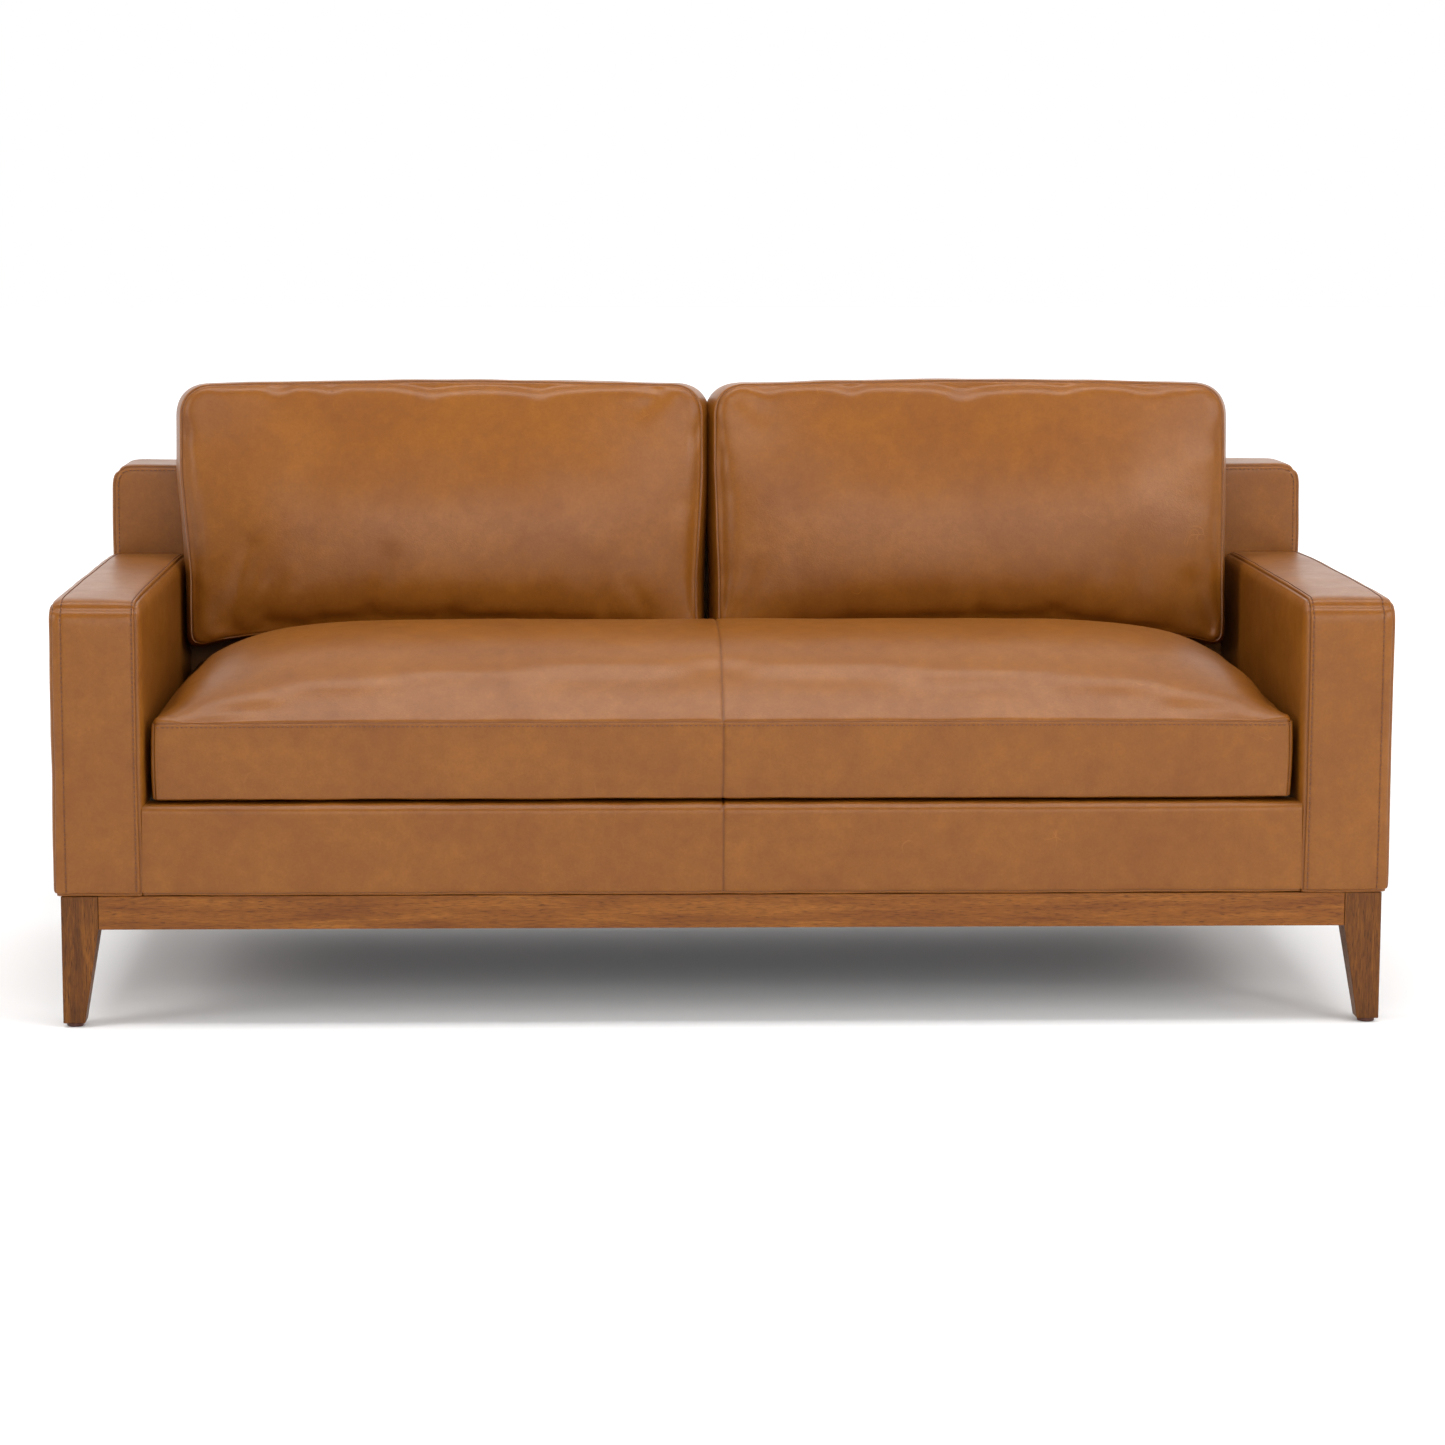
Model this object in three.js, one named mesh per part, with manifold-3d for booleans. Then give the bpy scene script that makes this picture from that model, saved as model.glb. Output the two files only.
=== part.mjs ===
// A leather sofa on a stained hardwood base: two loose back cushions, one loose bench seat
// cushion, narrow arms, a low upholstered back and four tapered legs.
// Millimetres, +Z up, +X to the right of someone who faces the sofa, its front towards -Y.
// The origin is on the floor under the middle of the sofa.

import * as THREE from 'three';
import { mergeVertices } from 'three/addons/utils/BufferGeometryUtils.js';
import Module from 'manifold-3d';

// Overall sizes
const sofaWidth = 1960; // over the arms
const sofaDepth = 880; // arm fronts to the rear of the back
const armWidth = 135;
const armHeight = 630; // floor to the arm tops
const backHeight = 777; // floor to the top of the fixed back
const backThickness = 160;
const backInset = 9; // the back stops this far inside the arms' outer faces
const bodyBottom = 196; // floor to the underside of the upholstery
const apronHeight = 135; // leather front under the seat cushion

// Upholstery
const wall = 12; // leather with its foam on the arms, the back and the apron
const armTopPad = 20;
const edgeRadius = 12;
const apronSetback = 4; // behind the arm fronts
const apronRoll = 60; // how far the apron's leather runs back over the front rail

// Hardwood base
const baseSetback = 8; // legs and rails behind the arm and back faces, front and rear
const baseSideInset = 10; // legs and rails inside the arms' outer faces
const baseRailHeight = 50;
const baseRailThickness = 22;
const railReveal = 1; // the rails sit this far behind the leg faces
const legTopWidth = 54;
const legFootWidth = 32;
const glideHeight = 6;
const glideRadius = 13;
const glideNailRadius = 1.5;
const glideNailLength = 14;
const cornerBlockReach = 60; // along each rail, past the leg
const cornerBlockInset = 5; // below the rails' top edge and above their bottom edge
const boltRadius = 4;
const boltBite = 30; // length of the bolt inside the leg
const washerRadius = 9;
const washerThickness = 2;
const nutRadius = 7.5;
const nutThickness = 6.5;

// Inner timber frame and springs
const timber = 28; // thickness of frame members
const armTimberGap = 3; // between an arm's cover and its frame, on each side
const backPostWidth = 50;
const rearRailSetback = 12; // in front of the fixed back
const centreRailHeight = 60;
const springCount = 6;
const springWave = 22;
const springBow = 3;
const springTopGap = 1.4; // under the deck pad or the apron's roll
const springWire = 4;
const springWaves = 5;
const springStepsPerWave = 8;
const clipThickness = 3;
const clipWidth = 26;
const clipSideInset = 55; // the clip strips stop short of the arms
const deckThickness = 8;
const dustCoverThickness = 1.5;

// Loose cushions
const seatSideGap = 7; // between the seat cushion and each arm
const seatFrontSetback = 8; // behind the arm fronts
const seatRearGap = 18; // in front of the fixed back
const seatLift = 5; // between the deck and the cushion
const seatBoxing = 114; // height of the band between the two seams
const seatCrown = 112; // rise of the filled top over its seam
const seatPeak = 0.42; // share of the cushion's depth in front of its highest line
const backCushionHeight = 390; // seam to seam
const backCushionBoxing = 150;
const backCushionCrown = 32;
const backCushionRearCrown = 10;
const backCushionTilt = 6; // degrees, leaning on the fixed back
const backCushionLeftGap = 3; // between the left cushion and the left arm
const backCushionRightGap = 15;
const backCushionMiddleGap = 4;
const backCushionRearGap = 3;
const backCushionRest = 9; // over the seat cushion, at the front bottom seam
const seatSwell = 6; // how far each boxing swells past its seams
const backCushionSwell = 13;
const backCushionEndSwell = 8;
const coverThickness = 5; // leather with its fibre wadding
const coreGap = 1;
const zipWidth = 24;
const zipThickness = 2;
const zipDepth = 2; // below the cover's outer face
const zipGap = 1;
const zipShare = 0.7; // of the cushion's width
const sliderLength = 14;
const sliderWidth = 10;
const sliderHeight = 4;
const sliderGap = 0.5;

const touch = 0.3; // gap left where two pieces meet
const boreGap = 0.5; // round a bolt, a nail or a rail that passes through

// Places that several pieces share
const front = -sofaDepth / 2;
const rear = sofaDepth / 2;
const insideHalf = sofaWidth / 2 - armWidth;
const backFace = rear - backThickness;
const baseTop = bodyBottom - touch;
const baseBottom = bodyBottom - baseRailHeight;
const apronTop = bodyBottom + apronHeight;
const deckBottom = apronTop - deckThickness;
const springRoom = 2 * touch + clipThickness + springWire + springTopGap;
const seatRailTop = apronTop - Math.max(deckThickness + springBow, wall) - springRoom;
const armTimberInner = insideHalf + wall + armTimberGap;
const armTimberOuter = sofaWidth / 2 - wall - armTimberGap;
const armTimberTop = armHeight - armTopPad - touch;
const frontPostRear = front + wall + touch + timber;
const rearPostFront = backFace - 2 * touch - timber;
const frontRailFront = front + apronSetback + wall + touch;
const rearRailFront = backFace - rearRailSetback - timber;

const leather = new THREE.MeshStandardMaterial({ color: '#9d6237', roughness: 0.5, metalness: 0 });
const hardwood = new THREE.MeshStandardMaterial({ color: '#84552c', roughness: 0.55, metalness: 0 });
const softwood = new THREE.MeshStandardMaterial({ color: '#cdb083', roughness: 0.8, metalness: 0 });
const steel = new THREE.MeshStandardMaterial({ color: '#8e9195', roughness: 0.35, metalness: 1 });
const foam = new THREE.MeshStandardMaterial({ color: '#ece2c4', roughness: 0.95, metalness: 0 });
const darkCloth = new THREE.MeshStandardMaterial({ color: '#1e1d1c', roughness: 0.95, metalness: 0 });
const darkPlastic = new THREE.MeshStandardMaterial({ color: '#2b2420', roughness: 0.5, metalness: 0 });

const wasm = await Module();
wasm.setup();

function toSolid(geometry) {
  const bare = geometry.index ? geometry.toNonIndexed() : geometry.clone();
  bare.deleteAttribute('normal');
  bare.deleteAttribute('uv');
  const merged = mergeVertices(bare, 1e-3);
  const vertProperties = Float32Array.from(merged.attributes.position.array);
  const triVerts = Uint32Array.from(merged.index.array);
  return new wasm.Manifold(new wasm.Mesh({ numProp: 3, vertProperties, triVerts }));
}

function toGeometry(solid) {
  const { vertProperties, triVerts } = solid.getMesh();
  const geometry = new THREE.BufferGeometry();
  geometry.setAttribute('position', new THREE.BufferAttribute(vertProperties, 3));
  geometry.setIndex(new THREE.BufferAttribute(triVerts, 1));
  geometry.computeVertexNormals();
  return geometry;
}

function meshOf(name, material, geometry) {
  const mesh = new THREE.Mesh(geometry, material);
  mesh.name = name;
  return mesh;
}

// A straight piece of timber, or a block to cut with, between two planes on each axis.
function blockGeometry(x, y, z) {
  const geometry = new THREE.BoxGeometry(x[1] - x[0], y[1] - y[0], z[1] - z[0]);
  return geometry.translate((x[0] + x[1]) / 2, (y[0] + y[1]) / 2, (z[0] + z[1]) / 2);
}

function block(name, material, x, y, z) {
  const mesh = meshOf(name, material, new THREE.BoxGeometry(x[1] - x[0], y[1] - y[0], z[1] - z[0]));
  mesh.position.set((x[0] + x[1]) / 2, (y[0] + y[1]) / 2, (z[0] + z[1]) / 2);
  return mesh;
}

// The same range on the other side of the middle plane.
function mirrored(range) {
  return [-range[1], -range[0]];
}

// A block whose edges are rounded on all sides.
function roundedBlockGeometry(x, y, z) {
  const half = (x[1] - x[0]) / 2 - edgeRadius;
  const tall = (z[1] - z[0]) / 2 - edgeRadius;
  const corner = edgeRadius / 3;
  const outline = new THREE.Shape();
  outline.absarc(half - corner, tall - corner, corner, 0, Math.PI / 2);
  outline.absarc(corner - half, tall - corner, corner, Math.PI / 2, Math.PI);
  outline.absarc(corner - half, corner - tall, corner, Math.PI, 1.5 * Math.PI);
  outline.absarc(half - corner, corner - tall, corner, 1.5 * Math.PI, 2 * Math.PI);
  const geometry = new THREE.ExtrudeGeometry(outline, {
    depth: y[1] - y[0] - 2 * edgeRadius,
    curveSegments: 3,
    bevelSize: edgeRadius,
    bevelThickness: edgeRadius,
    bevelSegments: 2,
  });
  geometry.rotateX(Math.PI / 2);
  geometry.center();
  return geometry.translate((x[0] + x[1]) / 2, (y[0] + y[1]) / 2, (z[0] + z[1]) / 2);
}

// ---- Hardwood base ----------------------------------------------------------------------

// Everything at one corner is drawn with the leg's outer corner at the origin and the sofa
// towards +X and +Y, so that a quarter turn makes the next corner.
function cornerPieces(name) {
  const corner = new THREE.Group();
  corner.add(meshOf(`${name}_leg`, hardwood, legGeometry()));
  corner.add(meshOf(`${name}_glide`, darkPlastic, glideGeometry()));
  corner.add(meshOf(`${name}_corner_block`, softwood, cornerBlockGeometry()));
  corner.add(meshOf(`${name}_leg_bolt`, steel, legBoltGeometry()));
  return corner;
}

const boltLevel = bodyBottom - baseRailHeight / 2;
const legCornerReach = legTopWidth * Math.SQRT2; // from the outer to the inner edge of the leg
const blockInnerEdge = railReveal + baseRailThickness + touch;
const blockOuterEdge = legTopWidth + touch + cornerBlockReach;
const blockFaceReach = (blockInnerEdge + blockOuterEdge) / Math.SQRT2;

// Turns a shape drawn round the Y axis so that its axis runs diagonally into the corner.
function alongDiagonal(geometry) {
  return geometry.rotateZ(-Math.PI / 4).translate(0, 0, boltLevel);
}

// Outer faces are upright and inner faces taper below the rails.
function legGeometry() {
  const foot = glideHeight + touch;
  const outline = new THREE.Shape([
    new THREE.Vector2(0, foot),
    new THREE.Vector2(legFootWidth, foot),
    new THREE.Vector2(legTopWidth, baseBottom),
    new THREE.Vector2(legTopWidth, baseTop),
    new THREE.Vector2(0, baseTop),
  ]);
  const slab = new THREE.ExtrudeGeometry(outline, { depth: legTopWidth, bevelEnabled: false });
  const alongX = slab.clone().rotateX(Math.PI / 2).translate(0, legTopWidth, 0);
  const alongY = slab.clone().rotateX(Math.PI / 2).rotateZ(Math.PI / 2);
  const bore = new THREE.CylinderGeometry(
    boltRadius + boreGap, boltRadius + boreGap, boltBite * 2, 8);
  bore.translate(0, legCornerReach, 0);
  const nailBore = new THREE.CylinderGeometry(
    glideNailRadius + boreGap, glideNailRadius + boreGap, glideNailLength * 2 + 2, 6);
  nailBore.rotateX(Math.PI / 2).translate(legFootWidth / 2, legFootWidth / 2, foot);
  const leg = toSolid(alongX)
    .intersect(toSolid(alongY))
    .subtract(toSolid(alongDiagonal(bore)))
    .subtract(toSolid(nailBore));
  return toGeometry(leg);
}

// A plastic disc with a nail, driven into the end of the leg.
function glideGeometry() {
  const rim = 1.5;
  const profile = [
    new THREE.Vector2(0, 0),
    new THREE.Vector2(glideRadius - rim, 0),
    new THREE.Vector2(glideRadius, rim),
    new THREE.Vector2(glideRadius, glideHeight),
    new THREE.Vector2(glideNailRadius, glideHeight),
    new THREE.Vector2(glideNailRadius, glideHeight + glideNailLength),
    new THREE.Vector2(0, glideHeight + glideNailLength),
  ];
  const geometry = new THREE.LatheGeometry(profile, 16);
  return geometry.rotateX(Math.PI / 2).translate(legFootWidth / 2, legFootWidth / 2, 0);
}

// Glued between the rails, notched round the leg.
function cornerBlockGeometry() {
  const outline = new THREE.Shape([
    new THREE.Vector2(legTopWidth + touch, blockInnerEdge),
    new THREE.Vector2(blockOuterEdge, blockInnerEdge),
    new THREE.Vector2(blockInnerEdge, blockOuterEdge),
    new THREE.Vector2(blockInnerEdge, legTopWidth + touch),
    new THREE.Vector2(legTopWidth + touch, legTopWidth + touch),
  ]);
  const height = baseRailHeight - 2 * cornerBlockInset;
  const slab = new THREE.ExtrudeGeometry(outline, { depth: height, bevelEnabled: false });
  slab.translate(0, 0, boltLevel - height / 2);
  const bore = new THREE.CylinderGeometry(
    boltRadius + boreGap, boltRadius + boreGap, 2 * cornerBlockReach, 8);
  bore.translate(0, blockFaceReach, 0);
  return toGeometry(toSolid(slab).subtract(toSolid(alongDiagonal(bore))));
}

// Shank, washer and nut, drawn as one turned piece.
function legBoltGeometry() {
  const washer = blockFaceReach + touch;
  const nut = washer + washerThickness;
  const end = nut + nutThickness;
  const profile = [
    new THREE.Vector2(0, legCornerReach - boltBite + 2),
    new THREE.Vector2(boltRadius, legCornerReach - boltBite + 2),
    new THREE.Vector2(boltRadius, washer),
    new THREE.Vector2(washerRadius, washer),
    new THREE.Vector2(washerRadius, nut),
    new THREE.Vector2(nutRadius, nut),
    new THREE.Vector2(nutRadius, end),
    new THREE.Vector2(0, end),
  ];
  return alongDiagonal(new THREE.LatheGeometry(profile, 8));
}

function hardwoodBase() {
  const base = new THREE.Group();
  const outerX = sofaWidth / 2 - baseSideInset;
  const outerY = sofaDepth / 2 - baseSetback;
  const corners = [
    ['front_left', -outerX, -outerY],
    ['front_right', outerX, -outerY],
    ['rear_right', outerX, outerY],
    ['rear_left', -outerX, outerY],
  ];
  corners.forEach(([name, x, y], quarter) => {
    const corner = cornerPieces(name);
    corner.position.set(x, y, 0);
    corner.rotation.z = quarter * Math.PI / 2;
    base.add(corner);
  });
  const betweenLegsX = outerX - legTopWidth - touch;
  const betweenLegsY = outerY - legTopWidth - touch;
  const height = [baseBottom, baseTop];
  const frontRun = [-outerY + railReveal, -outerY + railReveal + baseRailThickness];
  const sideRun = [outerX - railReveal - baseRailThickness, outerX - railReveal];
  const acrossX = [-betweenLegsX, betweenLegsX];
  const acrossY = [-betweenLegsY, betweenLegsY];
  base.add(block('front_base_rail', hardwood, acrossX, frontRun, height));
  base.add(block('rear_base_rail', hardwood, acrossX, mirrored(frontRun), height));
  base.add(block('left_base_rail', hardwood, mirrored(sideRun), acrossY, height));
  base.add(block('right_base_rail', hardwood, sideRun, acrossY, height));
  base.add(dustCover(outerX, outerY));
  return base;
}

// Black cloth that closes the underside, cut away round the leg tops.
function dustCover(outerX, outerY) {
  const edge = railReveal + baseRailThickness + touch;
  const notch = legTopWidth + touch;
  const wide = outerX - edge;
  const deep = outerY - edge;
  const notchX = outerX - notch;
  const notchY = outerY - notch;
  const outline = new THREE.Shape([
    new THREE.Vector2(-notchX, -deep),
    new THREE.Vector2(notchX, -deep),
    new THREE.Vector2(notchX, -notchY),
    new THREE.Vector2(wide, -notchY),
    new THREE.Vector2(wide, notchY),
    new THREE.Vector2(notchX, notchY),
    new THREE.Vector2(notchX, deep),
    new THREE.Vector2(-notchX, deep),
    new THREE.Vector2(-notchX, notchY),
    new THREE.Vector2(-wide, notchY),
    new THREE.Vector2(-wide, -notchY),
    new THREE.Vector2(-notchX, -notchY),
  ]);
  const cloth = new THREE.ExtrudeGeometry(
    outline, { depth: dustCoverThickness, bevelEnabled: false });
  const mesh = meshOf('dust_cover', darkCloth, cloth);
  mesh.position.z = bodyBottom - 2 * touch - dustCoverThickness;
  return mesh;
}

// ---- Seat frame, springs and deck -------------------------------------------------------

const frontRailDepth = [frontRailFront, frontRailFront + timber];
const rearRailDepth = [rearRailFront, rearRailFront + timber];
const seatRailLevel = [bodyBottom + touch, seatRailTop];

function seatFrame() {
  const frame = new THREE.Group();
  const reach = armTimberInner - touch;
  const sideRail = [armTimberInner, armTimberInner + timber];
  const sideRun = [frontPostRear + touch, rearPostFront - touch];
  const centreRun = [frontRailDepth[1] + touch, rearRailDepth[0] - touch];
  const centreLevel = [bodyBottom + touch, bodyBottom + centreRailHeight];
  frame.add(block('front_seat_rail', softwood, [-reach, reach], frontRailDepth, seatRailLevel));
  frame.add(block('rear_seat_rail', softwood, [-reach, reach], rearRailDepth, seatRailLevel));
  frame.add(block('left_seat_rail', softwood, mirrored(sideRail), sideRun, seatRailLevel));
  frame.add(block('right_seat_rail', softwood, sideRail, sideRun, seatRailLevel));
  frame.add(block('centre_seat_rail', softwood, [-timber / 2, timber / 2], centreRun, centreLevel));
  return frame;
}

// One zigzag wire, bowed up a little between the rails.
class SpringLine extends THREE.Curve {
  constructor(start, length) {
    super();
    this.start = start;
    this.length = length;
  }

  getPoint(share) {
    const sway = springWave * Math.sin(2 * Math.PI * springWaves * share);
    const rise = springBow * Math.sin(Math.PI * share);
    return new THREE.Vector3(sway, this.start + share * this.length, rise);
  }
}

function springs() {
  const deck = new THREE.Group();
  const clipLevel = [seatRailTop + touch, seatRailTop + touch + clipThickness];
  const clipReach = insideHalf - clipSideInset;
  const clips = [['front_spring_clips', frontRailDepth], ['rear_spring_clips', rearRailDepth]];
  for (const [name, rail] of clips) {
    const middle = (rail[0] + rail[1]) / 2;
    const run = [middle - clipWidth / 2, middle + clipWidth / 2];
    deck.add(block(name, steel, [-clipReach, clipReach], run, clipLevel));
  }
  const start = (frontRailDepth[0] + frontRailDepth[1]) / 2;
  const end = (rearRailDepth[0] + rearRailDepth[1]) / 2;
  const line = new SpringLine(start, end - start);
  const halfWire = springWire / 2;
  const wireSection = new THREE.Shape([
    new THREE.Vector2(-halfWire, 0),
    new THREE.Vector2(0, -halfWire),
    new THREE.Vector2(halfWire, 0),
    new THREE.Vector2(0, halfWire),
  ]);
  const wire = new THREE.ExtrudeGeometry(wireSection, {
    steps: springWaves * springStepsPerWave,
    extrudePath: line,
    bevelEnabled: false,
  });
  const pitch = 2 * clipReach / springCount;
  for (let i = 0; i < springCount; i += 1) {
    const spring = meshOf(`spring_${i + 1}`, steel, wire);
    spring.position.set(pitch * (i + 0.5) - clipReach, 0, clipLevel[1] + touch + halfWire);
    deck.add(spring);
  }
  return deck;
}

// Felt and cloth laid over the springs, under the seat cushion.
function deckPad() {
  const across = [touch - insideHalf, insideHalf - touch];
  const along = [front + apronSetback + apronRoll + touch, backFace - touch];
  return block('deck_pad', darkCloth, across, along, [deckBottom, apronTop]);
}

// Leather and foam over the front rail: a front face that rolls over the top.
function apronCover() {
  const face = front + apronSetback;
  const outline = new THREE.Shape();
  outline.moveTo(face, bodyBottom);
  outline.lineTo(face + wall, bodyBottom);
  outline.lineTo(face + wall, apronTop - wall);
  outline.lineTo(face + apronRoll, apronTop - wall);
  outline.lineTo(face + apronRoll, apronTop);
  outline.lineTo(face + edgeRadius, apronTop);
  outline.absarc(face + edgeRadius, apronTop - edgeRadius, edgeRadius, Math.PI / 2, Math.PI);
  const length = 2 * (insideHalf - touch);
  const cover = new THREE.ExtrudeGeometry(
    outline, { depth: length, curveSegments: 4, bevelEnabled: false });
  const mesh = meshOf('apron_cover', leather, cover);
  mesh.rotation.set(Math.PI / 2, Math.PI / 2, 0);
  mesh.position.x = -length / 2;
  return mesh;
}

// ---- Arms -------------------------------------------------------------------------------

function arm(name, side) {
  const group = new THREE.Group();
  const turned = (range) => (side > 0 ? range : mirrored(range));
  const timberX = turned([armTimberInner, armTimberOuter]);
  const frontPost = [front + wall + touch, frontPostRear];
  const rearPost = [rearPostFront, rearPostFront + timber];
  const postLevel = [bodyBottom + touch, armTimberTop - timber - touch];
  const topLevel = [armTimberTop - timber, armTimberTop];
  group.add(block(`${name}_arm_front_post`, softwood, timberX, frontPost, postLevel));
  group.add(block(`${name}_arm_rear_post`, softwood, timberX, rearPost, postLevel));
  group.add(block(`${name}_arm_top_rail`, softwood, timberX, [frontPost[0], rearPost[1]], topLevel));
  group.add(meshOf(`${name}_arm_cover`, leather, armCoverGeometry(turned)));
  return group;
}

// Leather and foam on the front, top and both sides, open below and behind. The seat rails
// pass through the inner side.
function armCoverGeometry(turned) {
  const outer = sofaWidth / 2;
  const rearEnd = backFace - touch;
  const beyond = 2 * edgeRadius;
  const skin = roundedBlockGeometry(
    turned([insideHalf, outer]), [front, rearEnd + beyond], [bodyBottom, armHeight]);
  const cavity = blockGeometry(
    turned([insideHalf + wall, outer - wall]),
    [front + wall, rearEnd + 2 * beyond],
    [bodyBottom - beyond, armHeight - armTopPad]);
  const rearCut = blockGeometry(
    turned([insideHalf - beyond, outer + beyond]),
    [rearEnd, rearEnd + 2 * beyond],
    [bodyBottom - beyond, armHeight + beyond]);
  let cover = toSolid(skin).subtract(toSolid(cavity)).subtract(toSolid(rearCut));
  for (const rail of [frontRailDepth, rearRailDepth]) {
    const passage = blockGeometry(
      turned([insideHalf - beyond, insideHalf + 2 * wall]),
      [rail[0] - boreGap, rail[1] + boreGap],
      [bodyBottom - beyond, seatRailTop + boreGap]);
    cover = cover.subtract(toSolid(passage));
  }
  return toGeometry(cover);
}

// ---- Fixed back -------------------------------------------------------------------------

function fixedBack() {
  const group = new THREE.Group();
  const half = sofaWidth / 2 - backInset;
  const depth = [backFace, rear];
  const timberDepth = [backFace + wall + touch, rear - wall - touch];
  const timberTop = backHeight - wall - touch;
  const outerPost = [half - wall - touch - backPostWidth, half - wall - touch];
  const postLevel = [bodyBottom + touch, timberTop - timber - touch];
  const railRun = [-outerPost[1], outerPost[1]];
  group.add(block('back_left_post', softwood, mirrored(outerPost), timberDepth, postLevel));
  group.add(block('back_right_post', softwood, outerPost, timberDepth, postLevel));
  group.add(block('back_top_rail', softwood, railRun, timberDepth, [timberTop - timber, timberTop]));
  const skin = roundedBlockGeometry([-half, half], depth, [bodyBottom, backHeight]);
  const cavity = blockGeometry(
    [wall - half, half - wall],
    [backFace + wall, rear - wall],
    [bodyBottom - 2 * edgeRadius, backHeight - wall]);
  const cover = toSolid(skin).subtract(toSolid(cavity));
  group.add(meshOf('back_cover', leather, toGeometry(cover)));
  return group;
}

// ---- Loose cushions ---------------------------------------------------------------------

// The filled form of a cushion, drawn flat with its fuller face up: a band between two seams,
// a crown above it and a shallower one below. The outline pulls in a little at its corners.
function cushionGeometry(form, inset) {
  const geometry = new THREE.BoxGeometry(2, 2, 2, 10, 6, 2);
  const place = geometry.attributes.position;
  const halfWidth = form.width / 2 - inset;
  const halfLength = form.length / 2 - inset;
  const halfBand = form.band / 2 - inset;
  for (let i = 0; i < place.count; i += 1) {
    const across = Math.sin(place.getX(i) * Math.PI / 2);
    const along = Math.sin(place.getY(i) * Math.PI / 2);
    const level = Math.round(place.getZ(i));
    const swell = 1 - Math.abs(level);
    const pull = form.cornerPull * Math.abs(across * along) ** 8;
    const fullness = form.fullness(across, along);
    const crown = level > 0 ? form.crown : form.rearCrown;
    place.setXYZ(
      i,
      across * (halfWidth - pull + swell * form.sideSwell),
      along * (halfLength - pull + swell * form.endSwell),
      level * (halfBand + crown * fullness));
  }
  return geometry;
}

// Cover, foam core, zip and slider of one cushion. The zip closes a slot in the middle of
// the band, on the +Y side of the form or, with zipEnd -1, on its -Y side.
function cushion(name, form, zipEnd) {
  const group = new THREE.Group();
  const bandFace = form.length / 2 + form.endSwell;
  const zipHalf = form.width * zipShare / 2;
  const outwards = (near, far) => (zipEnd > 0 ? [near, far] : [-far, -near]);
  const slot = blockGeometry(
    [-zipHalf - zipGap, zipHalf + zipGap],
    outwards(bandFace - 2 * coverThickness, bandFace + coverThickness),
    [-zipWidth / 2 - zipGap, zipWidth / 2 + zipGap]);
  const cover = toSolid(cushionGeometry(form, 0))
    .subtract(toSolid(cushionGeometry(form, coverThickness)))
    .subtract(toSolid(slot));
  group.add(meshOf(`${name}_cover`, leather, toGeometry(cover)));
  group.add(meshOf(`${name}_core`, foam, cushionGeometry(form, coverThickness + coreGap)));
  const zipFace = bandFace - zipDepth;
  group.add(block(
    `${name}_zip`, darkCloth,
    [-zipHalf, zipHalf],
    outwards(zipFace - zipThickness, zipFace),
    [-zipWidth / 2, zipWidth / 2]));
  const sliderStart = -zipHalf + zipGap;
  group.add(block(
    `${name}_zip_slider`, steel,
    [sliderStart, sliderStart + sliderLength],
    outwards(zipFace + sliderGap, zipFace + sliderGap + sliderHeight),
    [-sliderWidth / 2, sliderWidth / 2]));
  return group;
}

// How full the seat is from its front seam (0) to its rear seam (1): plump at the front,
// falling away under the back cushions.
function seatFullness(share) {
  if (share < seatPeak) {
    return 1 - (1 - share / seatPeak) ** 4;
  }
  return 1 - ((share - seatPeak) / (1 - seatPeak)) ** 1.6;
}

const seatForm = {
  width: 2 * (insideHalf - seatSideGap - seatSwell),
  length: backFace - seatRearGap - front - seatFrontSetback - 2 * seatSwell,
  band: seatBoxing,
  crown: seatCrown,
  rearCrown: 0,
  sideSwell: seatSwell,
  endSwell: seatSwell,
  cornerPull: 6,
  fullness: (across, along) => (1 - Math.abs(across) ** 12) * seatFullness((along + 1) / 2),
};
const seatFrontSeam = front + seatFrontSetback + seatSwell;
const seatSeamLevel = apronTop + seatLift + seatBoxing;

function seatTopAt(y) {
  return seatSeamLevel + seatCrown * seatFullness((y - seatFrontSeam) / seatForm.length);
}

const pairGaps = backCushionLeftGap + backCushionMiddleGap + backCushionRightGap;
const backCushionWidth = (2 * insideHalf - pairGaps) / 2;
const backForm = {
  width: backCushionWidth - 2 * backCushionSwell,
  length: backCushionHeight,
  band: backCushionBoxing,
  crown: backCushionCrown,
  rearCrown: backCushionRearCrown,
  sideSwell: backCushionSwell,
  endSwell: backCushionEndSwell,
  cornerPull: 12,
  fullness: (across, along) => (1 - across ** 6) * (1 - along ** 6),
};

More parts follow.
